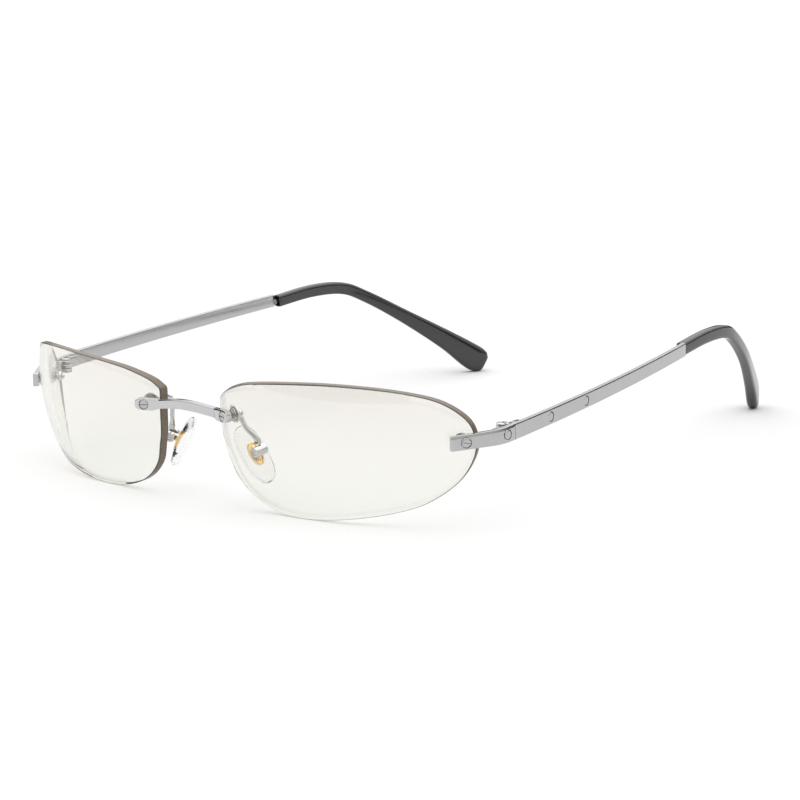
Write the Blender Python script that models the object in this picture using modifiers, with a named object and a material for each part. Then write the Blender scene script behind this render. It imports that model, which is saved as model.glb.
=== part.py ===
"""Rimless eyeglasses with wrapped lenses, flat metal temples and plastic temple tips.

The wearer looks along -Y, so the wearer's left side is +X. Z = 0 is the table under the lens
bottoms and the temple tips, and the origin is at the middle of the footprint. Lengths below are
in millimetres and become metres where an object is made. Left-hand dimensions are given; the
right-hand pieces are the same shapes on the other side of X = 0.
"""

from math import atan2, copysign, cos, pi, radians, sin, sqrt

import bmesh
import bpy
from mathutils import Matrix, Vector

MM = 0.001
FRONT_TO_ORIGIN = 76.28  # from the lens datum back to the middle of the footprint
GAP = 0.12  # between faces that touch on the real object
HOLE_GAP = 0.15  # around a shank or a pin
LENS_BACK_GAP = 0.26  # the lens's hollow side is made of flats that stand proud of its sphere

# Lens: a turned blank of spherical shell, edged to its outline
LENS_VERTEX = Vector((39.3, -0.3, 14.765))
LENS_WRAP = radians(17.9)  # yaw outwards
LENS_TILT = radians(9.5)  # the top leans forward
LENS_RADIUS = 45.0
LENS_THICKNESS = 2.0
BLANK_RADIUS = 31.5
LENS_OUTLINE = (
    (-28.9, 6.3), (-28.4, -0.8), (-27.3, -5.0), (-25.4, -9.4), (-21.7, -13.0), (-16.8, -15.0),
    (-11.5, -15.6), (-4.5, -15.3), (4.2, -14.2), (12.8, -12.7), (19.2, -10.8), (25.0, -7.0),
    (28.0, -2.6), (28.8, 1.6), (27.4, 6.3), (22.8, 10.6), (16.3, 13.1), (8.0, 14.6),
    (-1.5, 15.05), (-11.5, 14.3), (-20.0, 12.65), (-25.5, 10.35), (-28.1, 8.3),
)

# Bridge: a bar with a flat pad over the nasal corner of each lens
BRIDGE_SCREW_X = 12.0
BRIDGE_SCREW_Z = 20.7
BRIDGE_THICKNESS = 1.3
BRIDGE_PAD_HEIGHT = 2.7
BRIDGE_BAR_HEIGHT = 2.1
BRIDGE_ARCH = 1.1  # rise of the bar's middle over the screws

# Screws that clamp the bridge and the endpieces to the lenses: radius and depth of each head
LENS_SCREW_HEAD = (1.05, 0.4)
LENS_SCREW_SHANK = 0.6
COUNTERBORE = 0.5  # sinks the head into the face
HEAD_PROUD = 0.05
WASHER_THICKNESS = 0.25
BRIDGE_WASHER_RADIUS = 1.4
ENDPIECE_WASHER_RADIUS = 1.35
SPACER_THICKNESS = 0.5
NUT_RADIUS = 1.2
BRIDGE_NUT_DEPTH = 0.85
ENDPIECE_NUT_DEPTH = 0.75
BRIDGE_SCREW_BEHIND = 2.45  # shank beyond the bridge and the lens
ENDPIECE_SCREW_BEHIND = 2.9

# Endpiece and temple strips
ENDPIECE_TIP = (62.0, 12.0)  # outer face, in plan
ENDPIECE_HEADING = radians(54.5)  # from +X towards +Y
ENDPIECE_STRAIGHT = 8.5
ENDPIECE_BEND = 8.0
SPLIT_Y = 25.0  # where the endpiece meets the temple
ENDPIECE_THICKNESS = 1.3
ENDPIECE_SCREW_ALONG = 3.2  # from the tip
ENDPIECE_SCREW_RAISE = 0.18  # above the middle of the tip
TEMPLE_THICKNESS = 1.1
TEMPLE_BOW = 440.0  # radius of the temple's inward bow
TEMPLE_END_Y = 94.8
TEMPLE_RISE = 0.084  # per millimetre towards the back
STRIP_TIP_Z = 18.25  # mid height of the strip
STRIP_SPLIT_Z = 19.45
STRIP_TIP_HEIGHT = 3.0
STRIP_SPLIT_HEIGHT = 3.35
STRIP_END_HEIGHT = 2.95
STUD_RADIUS = 1.0
STUD_LENGTH = 0.6
TEMPLE_STUDS_Y = {"front": 37.3, "rear": 50.5}
ENDPIECE_STUD_Y = 22.6
ENDPIECE_STUD_Z = 19.25

# Hinge: two knuckles on the endpiece, one between them on the temple
HINGE_X = 65.45
HINGE_Y = 24.6
KNUCKLE_RADIUS = 1.45
KNUCKLE_HOLE = 0.7
HINGE_PIN = 0.55
KNUCKLES_Z = {"bottom": (17.7, 18.6), "middle": (18.75, 19.7), "top": (19.85, 20.6)}
HINGE_HEAD_Z = (20.7, 21.15)
HINGE_HEAD_RADIUS = 1.35

# Nose pad, its core and the box that holds it
PAD_CENTRE = Vector((10.85, 8.8, 10.6))
PAD_UP = Vector((-0.534, -0.1, 0.84)).normalized()
PAD_SPLAY = radians(22.0)  # the face turns back this far from straight inwards
PAD_SIZE = (5.8, 13.6, 2.6)  # across, along, thick
PAD_CAGE = (1.34, 1.30, 1.3)  # the rounded pad's own cube is this much larger each way
PAD_CORE = (1.35, 2.7)  # half widths of the oval
PAD_CORE_DEPTHS = (-1.15, -0.3)  # from the pad's middle, its back and its front
PAD_TO_BOX = 3.0
BOX_RADIUS = 1.25
BOX_LENGTH = 2.9
BOX_SCREW_HEAD = (0.85, 0.25)
BOX_SCREW_SHANK = 0.35
TAB_THICKNESS = 0.8
TAB_RADIUS = 0.75
ARM_RADIUS = 0.5
PAD_ARM_ROUTE = ((9.9, 4.0, 21.6), (10.2, 5.2, 20.3), (11.3, 6.1, 17.0))  # over and down
EYELET_RADIUS = 1.75
EYELET_THICKNESS = 0.5

# Temple tip: the sleeve's centre line, with the half thickness and half height at each point
TIP_ROUTE = (
    (61.35, 95.0, 25.2, 1.15, 1.50), (60.1, 106.5, 26.3, 1.15, 1.52), (58.6, 116.5, 25.8, 1.15, 1.52),
    (56.7, 123.6, 22.9, 1.12, 1.50), (52.8, 133.8, 16.8, 1.18, 1.75), (47.5, 144.6, 9.4, 1.35, 2.55),
    (44.2, 151.0, 4.35, 1.50, 3.35), (42.9, 153.4, 2.67, 1.40, 3.05), (42.3, 154.5, 1.92, 0.90, 1.95),
)
TIP_STEPS = 3  # rings between two points of the route
TIP_SIDES = 20  # points round the sleeve
TIP_SQUARENESS = 3.2  # 2 is an oval, and more is nearer a rectangle
CORE_RADIUS = 0.65
CORE_START = Vector((-0.35, 2.0, 0.17))  # the wire starts this far before the sleeve, in the strip
CORE_POINTS = 6  # the temple's core wire ends at this point of the route

STEEL = ("polished_steel", (0.72, 0.72, 0.73), 0.18, 1.0)
STRIP_STEEL = ("satin_steel", (0.60, 0.60, 0.61), 0.30, 1.0)
GOLD = ("gilt_brass", (0.80, 0.56, 0.22), 0.30, 1.0)
TINTED = ("tinted_lens", (0.90, 0.90, 0.86), 0.03, 0.0)
SILICONE = ("clear_silicone", (0.93, 0.93, 0.93), 0.15, 0.0)
NYLON = ("clear_nylon", (0.85, 0.85, 0.82), 0.25, 0.0)
ACETATE = ("black_acetate", (0.012, 0.012, 0.013), 0.12, 0.0)


def clear_scene():
    for obj in list(bpy.data.objects):
        bpy.data.objects.remove(obj, do_unlink=True)


def collection(name):
    made = bpy.data.collections.new(name)
    bpy.context.scene.collection.children.link(made)
    return made


clear_scene()
PARTS = collection("rimless_eyeglasses")
CUTTERS = collection("cutters")


def material(finish):
    name, colour, roughness, metallic = finish
    made = bpy.data.materials.get(name)
    if made is None:
        made = bpy.data.materials.new(name)
        made.use_nodes = True
        shader = made.node_tree.nodes["Principled BSDF"]
        shader.inputs["Base Color"].default_value = (*colour, 1.0)
        shader.inputs["Roughness"].default_value = roughness
        shader.inputs["Metallic"].default_value = metallic
        made.diffuse_color = (*colour, 1.0)
    return made


def place(side, point):
    """The point of a left-hand dimension, on this side, in metres."""
    x, y, z = point
    return Vector((side * x, y - FRONT_TO_ORIGIN, z)) * MM


def turn(side, direction):
    return Vector((side * direction[0], direction[1], direction[2]))


def add(name, data, finish=None, parent=None):
    """Adds the data as a part, or as a cutter where it has no finish."""
    obj = bpy.data.objects.new(name, data)
    if finish is None:
        CUTTERS.objects.link(obj)
        obj.hide_render = True
        obj.display_type = "WIRE"
        return obj
    PARTS.objects.link(obj)
    if obj.type == "MESH":
        data.materials.clear()
        data.shade_smooth()
        data.set_sharp_from_angle(angle=radians(35))
    data.materials.append(material(finish))
    if parent is not None:
        hang(obj, parent)
    return obj


def hang(obj, parent):
    bpy.context.view_layer.update()
    obj.parent = parent
    obj.matrix_parent_inverse = parent.matrix_world.inverted()


def aim(obj, point, axis, upright=(0.0, 0.0, 1.0)):
    """Puts the object at the point with its Z along the axis and its Y as near upright as can be."""
    z = Vector(axis).normalized()
    if abs(z.dot(Vector(upright).normalized())) > 0.999:
        upright = (0.0, 1.0, 0.0)
    x = Vector(upright).cross(z).normalized()
    y = z.cross(x)
    obj.matrix_world = Matrix.Translation(point) @ Matrix((x, y, z)).transposed().to_4x4()


def mesh_from(name, build):
    made = bmesh.new()
    build(made)
    bmesh.ops.recalc_face_normals(made, faces=made.faces)
    data = bpy.data.meshes.new(name)
    made.to_mesh(data)
    made.free()
    return data


def rod(name, radius, length, segments=16):
    """A cylinder about Z, from z = 0 to its length, in metres."""
    def build(made):
        bmesh.ops.create_cone(
            made, cap_ends=True, segments=segments, radius1=radius * MM, radius2=radius * MM,
            depth=length * MM, matrix=Matrix.Translation((0, 0, length * MM / 2)))
    return mesh_from(name, build)


def block(name, low, high):
    """A box between two corners, in metres."""
    size = Vector(high) - Vector(low)
    middle = (Vector(high) + Vector(low)) / 2
    def build(made):
        bmesh.ops.create_cube(
            made, size=1.0,
            matrix=Matrix.Translation(middle * MM) @ Matrix.Diagonal((*(size * MM), 1.0)))
    return mesh_from(name, build)


def turned(name, profile, closed, finish, parent=None, steps=16):
    """A turned piece about Z. The profile's (radius, height) points run down its outer side."""
    data = bpy.data.meshes.new(name)
    points = [(radius * MM, 0.0, height * MM) for radius, height in profile]
    edges = [(i, i + 1) for i in range(len(points) - 1)]
    if closed:
        edges.append((len(points) - 1, 0))
    data.from_pydata(points, edges, [])
    obj = add(name, data, finish, parent)
    screw = obj.modifiers.new("turn", "SCREW")
    screw.steps = screw.render_steps = steps
    screw.use_merge_vertices = True
    screw.merge_threshold = 0.00001
    screw.use_smooth_shade = True
    return obj


def ring(name, inner, outer, thickness, finish, parent=None, steps=16):
    """A washer or nut about Z, from z = 0 up."""
    profile = [(inner, thickness), (outer, thickness), (outer, 0.0), (inner, 0.0)]
    return turned(name, profile, True, finish, parent, steps)


def boolean(obj, other, operation="DIFFERENCE"):
    step = obj.modifiers.new(operation.lower(), "BOOLEAN")
    step.operation = operation
    step.object = other
    step.solver = "EXACT"
    return obj


def drill(obj, side, point, axis, radius, depth):
    """Cuts a round hole that starts at the point and runs along the axis."""
    cutter = add(f"{obj.name}_drill", rod("drill", radius, depth))
    aim(cutter, place(side, point), turn(side, axis))
    boolean(obj, cutter)


def solid_of_curve(name, curve, finish=None, parent=None):
    """The curve's own solid as a mesh object. The curve object is removed."""
    bpy.context.view_layer.update()
    graph = bpy.context.evaluated_depsgraph_get()
    data = bpy.data.meshes.new_from_object(curve.evaluated_get(graph))
    made = bmesh.new()
    made.from_mesh(data)
    bmesh.ops.remove_doubles(made, verts=made.verts, dist=0.000001)
    bmesh.ops.recalc_face_normals(made, faces=made.faces)
    made.to_mesh(data)
    made.free()
    obj = add(name, data, finish)
    obj.matrix_world = curve.matrix_world
    bpy.data.objects.remove(curve, do_unlink=True)
    if parent is not None:
        hang(obj, parent)
    return obj


def path_curve(points, radii, bevel=None, depth=0.0):
    """A smooth curve through the points, in metres, thick by a round bevel or by a profile."""
    data = bpy.data.curves.new("path", "CURVE")
    data.dimensions = "3D"
    data.twist_mode = "Z_UP"
    data.resolution_u = 3
    data.use_fill_caps = True
    data.bevel_depth = depth
    data.bevel_resolution = 2
    if bevel is not None:
        data.bevel_mode = "OBJECT"
        data.bevel_object = bevel
    spline = data.splines.new("BEZIER")
    spline.bezier_points.add(len(points) - 1)
    for knot, point, radius in zip(spline.bezier_points, points, radii):
        knot.co = point
        knot.radius = radius
        knot.handle_left_type = knot.handle_right_type = "AUTO"
    obj = bpy.data.objects.new("path", data)
    CUTTERS.objects.link(obj)
    return obj


def flat_outline(points, half_depth, resolution):
    """A closed outline through the points, filled and drawn out along Z, in metres."""
    data = bpy.data.curves.new("outline", "CURVE")
    data.dimensions = "2D"
    data.fill_mode = "BOTH"
    data.extrude = half_depth * MM
    data.resolution_u = resolution
    spline = data.splines.new("BEZIER")
    spline.bezier_points.add(len(points) - 1)
    spline.use_cyclic_u = True
    for knot, (x, y) in zip(spline.bezier_points, points):
        knot.co = (x * MM, y * MM, 0.0)
        knot.handle_left_type = knot.handle_right_type = "AUTO"
    obj = bpy.data.objects.new("outline", data)
    CUTTERS.objects.link(obj)
    return obj


def smooth_route(points, steps):
    """A smooth line through the points, each a tuple of any length."""
    last = len(points) - 1
    dense = []
    for i in range(last):
        a, b, c, d = (points[min(max(i + k, 0), last)] for k in (-1, 0, 1, 2))
        for step in range(steps):
            t = step / steps
            dense.append(tuple(
                0.5 * (2 * q + (r - p) * t + (2 * p - 5 * q + 4 * r - s) * t * t
                       + (3 * q - p - 3 * r + s) * t**3)
                for p, q, r, s in zip(a, b, c, d)))
    return dense + [tuple(points[-1])]


def strip(name, side, facing, stations, thickness, finish):
    """A flat bar on edge: (x, y, mid height, height) of its outer face, thickened behind it."""
    origin = place(side, stations[0][:3])
    def build(made):
        low = [made.verts.new(place(side, (x, y, z - height / 2)) - origin)
               for x, y, z, height in stations]
        high = [made.verts.new(place(side, (x, y, z + height / 2)) - origin)
                for x, y, z, height in stations]
        for i in range(len(stations) - 1):
            made.faces.new((low[i], low[i + 1], high[i + 1], high[i]))
    data = mesh_from(name, build)
    if data.polygons[0].normal.dot(turn(side, facing)) < 0:
        data.flip_normals()
    obj = add(name, data, finish)
    obj.location = origin
    shell = obj.modifiers.new("thickness", "SOLIDIFY")
    shell.thickness = thickness * MM
    shell.offset = -1.0
    shell.use_even_offset = True
    return obj


def empty(name, point):
    obj = bpy.data.objects.new(name, None)
    PARTS.objects.link(obj)
    obj.empty_display_size = 0.004
    obj.location = point
    return obj


def lens_axes():
    """Across, up and forward directions of the left lens."""
    across = Vector((cos(LENS_WRAP), sin(LENS_WRAP), 0.0))
    forward = Vector((sin(LENS_WRAP) * cos(LENS_TILT), -cos(LENS_WRAP) * cos(LENS_TILT),
                      -sin(LENS_TILT)))
    return across, forward.cross(across), forward


def lens_centre():
    return LENS_VERTEX - LENS_RADIUS * lens_axes()[2]


def lens_front_y(x, z):
    """Where the front surface of the left lens lies at this x and z."""
    centre = lens_centre()
    return centre.y - sqrt(LENS_RADIUS**2 - (x - centre.x) ** 2 - (z - centre.z) ** 2)


def endpiece_path():
    """Plan points of the endpiece's outer face, from its tip to the split."""
    x, y = ENDPIECE_TIP
    heading = ENDPIECE_HEADING
    points = [(x, y)]
    for share in (0.35, 0.7, 1.0):
        points.append((x + share * ENDPIECE_STRAIGHT * cos(heading),
                       y + share * ENDPIECE_STRAIGHT * sin(heading)))
    x, y = points[-1]
    for step in range(1, 5):
        now = heading + (pi / 2 - heading) * step / 4
        points.append((x + ENDPIECE_BEND * (sin(now) - sin(heading)),
                       y + ENDPIECE_BEND * (cos(heading) - cos(now))))
    points.append((points[-1][0], SPLIT_Y - GAP / 2))
    return points


def endpiece_stations():
    """The strip climbs and grows evenly from its tip to the split."""
    stations = []
    for x, y in endpiece_path():
        share = (y - ENDPIECE_TIP[1]) / (SPLIT_Y - ENDPIECE_TIP[1])
        z = STRIP_TIP_Z + share * (STRIP_SPLIT_Z - STRIP_TIP_Z)
        height = STRIP_TIP_HEIGHT + share * (STRIP_SPLIT_HEIGHT - STRIP_TIP_HEIGHT)
        stations.append((x, y, z, height))
    return stations


def temple_x(y):
    """Outer face of the temple, bowed inwards from the split."""
    start = endpiece_path()[-1][0]
    return start - TEMPLE_BOW + sqrt(TEMPLE_BOW**2 - (y - SPLIT_Y) ** 2)


def temple_stations():
    stations = []
    for step in range(8):
        y = SPLIT_Y + GAP / 2 + (TEMPLE_END_Y - SPLIT_Y) * step / 7
        share = step / 7
        z = STRIP_SPLIT_Z + TEMPLE_RISE * (y - SPLIT_Y)
        height = STRIP_SPLIT_HEIGHT + share * (STRIP_END_HEIGHT - STRIP_SPLIT_HEIGHT)
        stations.append((temple_x(y), y, z, height))
    return stations


def bridge_screw():
    """The point where the left bridge screw meets the lens front, and the way into the lens."""
    point = Vector((BRIDGE_SCREW_X, lens_front_y(BRIDGE_SCREW_X, BRIDGE_SCREW_Z), BRIDGE_SCREW_Z))
    return point, (lens_centre() - point).normalized()


def endpiece_screw():
    """The point on the strip's outer face at the left lens screw, and the way into the lens."""
    heading = ENDPIECE_HEADING
    x = ENDPIECE_TIP[0] + ENDPIECE_SCREW_ALONG * cos(heading)
    y = ENDPIECE_TIP[1] + ENDPIECE_SCREW_ALONG * sin(heading)
    return Vector((x, y, STRIP_TIP_Z + ENDPIECE_SCREW_RAISE)), Vector((-sin(heading), cos(heading), 0.0))


def headed_screw(name, side, point, axis, head, shank, length, finish, parent=None, slot=True):
    """A screw whose head's top is at the point and whose shank runs along the axis."""
    head_radius, head_depth = head
    profile = [(0.0, 0.0), (head_radius - 0.12, 0.0), (head_radius, -0.12),
               (head_radius, -head_depth), (shank, -head_depth), (shank, -length + 0.15),
               (shank - 0.15, -length), (0.0, -length)]
    obj = turned(name, profile, False, finish)
    aim(obj, place(side, point), -turn(side, axis))
    if slot:
        wide = head_radius + 0.3
        cutter = add(f"{name}_slot", block("slot", (-wide, -0.16, -0.2), (wide, 0.16, 0.3)))
        aim(cutter, place(side, point), -turn(side, axis))
        boolean(obj, cutter)
    if parent is not None:
        hang(obj, parent)
    return obj


def washer(name, side, point, axis, depth, inner, outer, thickness, finish, steps=16):
    """A ring on the screw's axis, its near face at this depth beyond the point."""
    obj = ring(name, inner, outer, thickness, finish, steps=steps)
    aim(obj, place(side, Vector(point) + Vector(axis) * depth), turn(side, axis))
    return obj


def screw_hole(obj, side, face, axis):
    """The bore and counterbore of a lens screw, from above the face inwards."""
    drill(obj, side, face - axis, axis, LENS_SCREW_SHANK + HOLE_GAP, 4.0)
    drill(obj, side, face - axis, axis, LENS_SCREW_HEAD[0] + HOLE_GAP, 1.0 + COUNTERBORE)


def make_lens(hand, side):
    def arc(radius, edge_radius):
        reach = edge_radius / radius
        count = 6
        angles = [i / (count - 1) * atan2(reach, sqrt(1 - reach * reach)) for i in range(count)]
        return [(radius * sin(a), radius * cos(a) - LENS_RADIUS) for a in angles]

    inner_radius = LENS_RADIUS - LENS_THICKNESS
    front = arc(LENS_RADIUS, BLANK_RADIUS)
    back = arc(inner_radius, BLANK_RADIUS * inner_radius / LENS_RADIUS)
    across, up, forward = lens_axes()
    lens = turned(f"{hand}_lens", front + back[::-1], False, TINTED, steps=48)
    aim(lens, place(side, LENS_VERTEX), turn(side, forward), turn(side, up))
    # The outline's own axes are the turned blank's, so the right lens takes it reversed.
    outline = flat_outline([(side * x, y) for x, y in LENS_OUTLINE], 20.0, 3)
    outline.matrix_world = lens.matrix_world
    boolean(lens, solid_of_curve(f"{hand}_lens_edge", outline), "INTERSECT")
    point, axis = bridge_screw()
    drill(lens, side, point - axis * 2.0, axis, LENS_SCREW_SHANK + HOLE_GAP, 8.0)
    point, axis = endpiece_screw()
    drill(lens, side, point, axis, LENS_SCREW_SHANK + HOLE_GAP, 8.0)


def bridge_stations():
    """Outer face of the left half of the bridge, from its rounded end to the middle."""
    screw, into = bridge_screw()
    lift = BRIDGE_THICKNESS + GAP
    along = Vector((into.y, -into.x, 0.0)).normalized()
    stations = []
    for reach, height in ((2.1, 1.3), (1.8, 2.1), (1.2, 2.6), (0.0, BRIDGE_PAD_HEIGHT),
                          (-2.2, BRIDGE_PAD_HEIGHT - 0.1), (-3.6, BRIDGE_BAR_HEIGHT)):
        point = screw + along * reach - into * lift
        bulge = BRIDGE_ARCH * 0.16 if reach < -3.0 else 0.0
        stations.append((point.x, point.y, BRIDGE_SCREW_Z + bulge, height))
    x, y = stations[-1][:2]
    for share in (0.35, 0.7, 1.0):
        rise = sin(share * pi / 2)
        stations.append((x * (1 - share), y - 1.0 * rise,
                         BRIDGE_SCREW_Z + BRIDGE_ARCH * (0.16 + 0.84 * rise), BRIDGE_BAR_HEIGHT))
    return stations


def make_bridge():
    left = bridge_stations()
    right = [(-x, y, z, height) for x, y, z, height in left[-2::-1]]
    bridge = strip("bridge", 1, (0, -1, 0), left + right, BRIDGE_THICKNESS, STEEL)
    point, axis = bridge_screw()
    face = point - axis * (BRIDGE_THICKNESS + GAP)
    for side in (1, -1):
        screw_hole(bridge, side, face, axis)


def make_bridge_mount(hand, side):
    """Screw, washer and nut that clamp the bridge and the pad arm to the lens."""
    point, axis = bridge_screw()
    face = point - axis * (BRIDGE_THICKNESS + GAP)
    length = BRIDGE_THICKNESS + LENS_THICKNESS + BRIDGE_SCREW_BEHIND
    headed_screw(f"{hand}_bridge_screw", side, face - axis * HEAD_PROUD, axis, LENS_SCREW_HEAD,
                 LENS_SCREW_SHANK, length, STEEL)
    hole = LENS_SCREW_SHANK + HOLE_GAP
    behind = LENS_THICKNESS + LENS_BACK_GAP
    washer(f"{hand}_bridge_washer", side, point, axis, behind, hole, BRIDGE_WASHER_RADIUS,
           WASHER_THICKNESS, NYLON)
    behind += WASHER_THICKNESS + GAP + EYELET_THICKNESS + GAP
    washer(f"{hand}_bridge_nut", side, point, axis, behind, hole, NUT_RADIUS, BRIDGE_NUT_DEPTH,
           STEEL)


def pad_axes():
    """The left pad's face (towards the nose), length and pivot directions."""
    face = Vector((-cos(PAD_SPLAY), sin(PAD_SPLAY), 0.0))
    face.z = -(face.x * PAD_UP.x + face.y * PAD_UP.y) / PAD_UP.z
    face.normalize()
    return face, PAD_UP, face.cross(PAD_UP)


def pad_pivot():
    return PAD_CENTRE - pad_axes()[0] * PAD_TO_BOX


def make_pad_arm(hand, side):
    """An eyelet behind the lens and a wire that loops over and down to the pad box."""
    point, axis = bridge_screw()
    start = point + axis * (LENS_THICKNESS + LENS_BACK_GAP + WASHER_THICKNESS + GAP)
    eyelet = washer(f"{hand}_pad_arm", side, start, axis, 0.0, LENS_SCREW_SHANK + HOLE_GAP,
                    EYELET_RADIUS, EYELET_THICKNESS, STEEL)
    face, up, _ = pad_axes()
    box_top = pad_pivot() + up * (BOX_RADIUS + GAP + ARM_RADIUS) - face * 0.5
    root = start + axis * EYELET_THICKNESS / 2
    along = Vector((-axis.y, axis.x, 0.0)).normalized()
    route = [root + along * 1.55 + Vector((0, 0, 0.1)), root + along * 2.3 + Vector((0, 0.7, 0.7)),
             *(Vector(point) for point in PAD_ARM_ROUTE), box_top]
    wire = path_curve([place(side, p) for p in route], [1.0] * len(route), depth=ARM_RADIUS * MM)
    boolean(eyelet, solid_of_curve(f"{hand}_pad_wire", wire), "UNION")


def make_pad_box(hand, side):
    """The round box at the arm's end: a slotted barrel for the pad's tab."""
    face, up, pivot_axis = pad_axes()
    pivot = pad_pivot()
    box = add(f"{hand}_pad_box", rod("pad_box", BOX_RADIUS, BOX_LENGTH, 24), STEEL)
    aim(box, place(side, pivot - pivot_axis * BOX_LENGTH / 2), turn(side, pivot_axis),
        turn(side, up))
    slot_half = TAB_THICKNESS / 2 + HOLE_GAP
    reach = TAB_RADIUS + HOLE_GAP
    slot = add(f"{hand}_pad_slot", block("pad_slot", (-slot_half, -2.5, -reach),
                                         (slot_half, 2.5, BOX_RADIUS + 1.0)))
    aim(slot, place(side, pivot), turn(side, face), turn(side, up))
    boolean(box, slot)
    drill(box, side, pivot - pivot_axis * 3.0, pivot_axis, BOX_SCREW_SHANK + HOLE_GAP, 6.0)
    headed_screw(f"{hand}_pad_screw", side, pivot - pivot_axis * (BOX_LENGTH / 2 + 0.35),
                 pivot_axis, BOX_SCREW_HEAD, BOX_SCREW_SHANK, BOX_LENGTH + 0.5, STEEL)


def make_pad(hand, side, parent):
    face, up, pivot_axis = pad_axes()

    def build(made):
        bmesh.ops.create_cube(made, size=1.0, matrix=Matrix.Diagonal(
            (*(size * cage * MM for size, cage in zip(PAD_SIZE, PAD_CAGE)), 1.0)))
    pad = add(f"{hand}_nose_pad", mesh_from("nose_pad", build), SILICONE)
    aim(pad, place(side, PAD_CENTRE), turn(side, face), turn(side, up))
    smooth = pad.modifiers.new("soft form", "SUBSURF")
    smooth.levels = smooth.render_levels = 3

    def oval(name, half_across, half_along, low, high):
        def shape(made):
            bmesh.ops.create_cone(made, cap_ends=True, segments=24, radius1=MM, radius2=MM,
                                  depth=(high - low) * MM)
            bmesh.ops.transform(made, verts=made.verts, matrix=Matrix.Translation(
                (0, 0, (high + low) * MM / 2)) @ Matrix.Diagonal((half_across, half_along, 1, 1)))
        return mesh_from(name, shape)

    low, high = PAD_CORE_DEPTHS
    recess = add(f"{hand}_pad_recess", oval("recess", PAD_CORE[0] + HOLE_GAP,
                                            PAD_CORE[1] + HOLE_GAP, low - 3.0, high))
    aim(recess, place(side, PAD_CENTRE), turn(side, face), turn(side, up))
    boolean(pad, recess)
    hang(pad, parent)

    core = add(f"{hand}_pad_core", oval("core", *PAD_CORE, low, high - HOLE_GAP), GOLD)
    aim(core, place(side, PAD_CENTRE), turn(side, face), turn(side, up))
    half = TAB_THICKNESS / 2
    tab = add(f"{hand}_pad_tab", block("tab", (-half, -TAB_RADIUS, -PAD_TO_BOX),
                                       (half, TAB_RADIUS, (low + high) / 2)))
    aim(tab, place(side, PAD_CENTRE), turn(side, face), turn(side, up))
    boolean(core, tab, "UNION")
    tab_end = add(f"{hand}_pad_tab_end", rod("tab_end", TAB_RADIUS, TAB_THICKNESS, 16))
    aim(tab_end, place(side, pad_pivot() - pivot_axis * half), turn(side, pivot_axis),
        turn(side, up))
    boolean(core, tab_end, "UNION")
    drill(core, side, pad_pivot() - pivot_axis * 2.0, pivot_axis, BOX_SCREW_SHANK + HOLE_GAP, 4.0)
    hang(core, parent)


def hinge_piece(name, side, low, high):
    """A block by the hinge, its corners given in the left-hand frame."""
    x, y, z = HINGE_X, HINGE_Y, 0.0
    piece = block(name, [a - b for a, b in zip(low, (x, y, z))],
                  [a - b for a, b in zip(high, (x, y, z))])
    obj = add(f"{name}_block", piece)
    if side < 0:
        for vertex in piece.vertices:
            vertex.co.x = -vertex.co.x
        piece.flip_normals()
    obj.location = place(side, (x, y, z))
    return obj


def knuckle(name, side, level):
    low, high = KNUCKLES_Z[level]
    obj = add(name, rod("knuckle", KNUCKLE_RADIUS, high - low, 24))
    obj.location = place(side, (HINGE_X, HINGE_Y, low))
    return obj


def make_endpiece(hand, side):
    stations = endpiece_stations()
    piece = strip(f"{hand}_endpiece", side, (1, 0, 0), stations, ENDPIECE_THICKNESS, STRIP_STEEL)
    inner = stations[-1][0] - ENDPIECE_THICKNESS / 2
    for level in ("bottom", "top"):
        low, high = KNUCKLES_Z[level]
        boolean(piece, knuckle(f"{hand}_{level}_knuckle", side, level), "UNION")
        boolean(piece, hinge_piece(f"{hand}_{level}_web", side, (HINGE_X, HINGE_Y - 2.5, low),
                                   (inner, HINGE_Y - 0.1, high)), "UNION")
    low, high = KNUCKLES_Z["bottom"][0], KNUCKLES_Z["top"][1]
    boolean(piece, hinge_piece(f"{hand}_front_leaf", side, (HINGE_X + 0.1, HINGE_Y - 3.6, low),
                               (inner - 0.1, HINGE_Y - 1.65, high)), "UNION")
    drill(piece, side, (HINGE_X, HINGE_Y, 15.0), (0, 0, 1), KNUCKLE_HOLE, 8.0)
    point, axis = endpiece_screw()
    screw_hole(piece, side, point, axis)
    outer = stations[-1][0]
    drill(piece, side, (outer + 1.0, ENDPIECE_STUD_Y, ENDPIECE_STUD_Z), (-1, 0, 0),
          STUD_RADIUS + HOLE_GAP, 1.0 + STUD_LENGTH)
    stud(f"{hand}_endpiece_stud", side, (outer + 0.02, ENDPIECE_STUD_Y, ENDPIECE_STUD_Z), (-1, 0, 0))


def stud(name, side, point, axis, parent=None):
    """A plain round pin, flush in its pocket."""
    length = STUD_LENGTH - HOLE_GAP
    profile = [(0.0, 0.0), (STUD_RADIUS - 0.12, 0.0), (STUD_RADIUS, -0.12),
               (STUD_RADIUS, -length), (0.0, -length)]
    obj = turned(name, profile, False, STEEL)
    aim(obj, place(side, point), -turn(side, axis))
    if parent is not None:
        hang(obj, parent)


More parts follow.
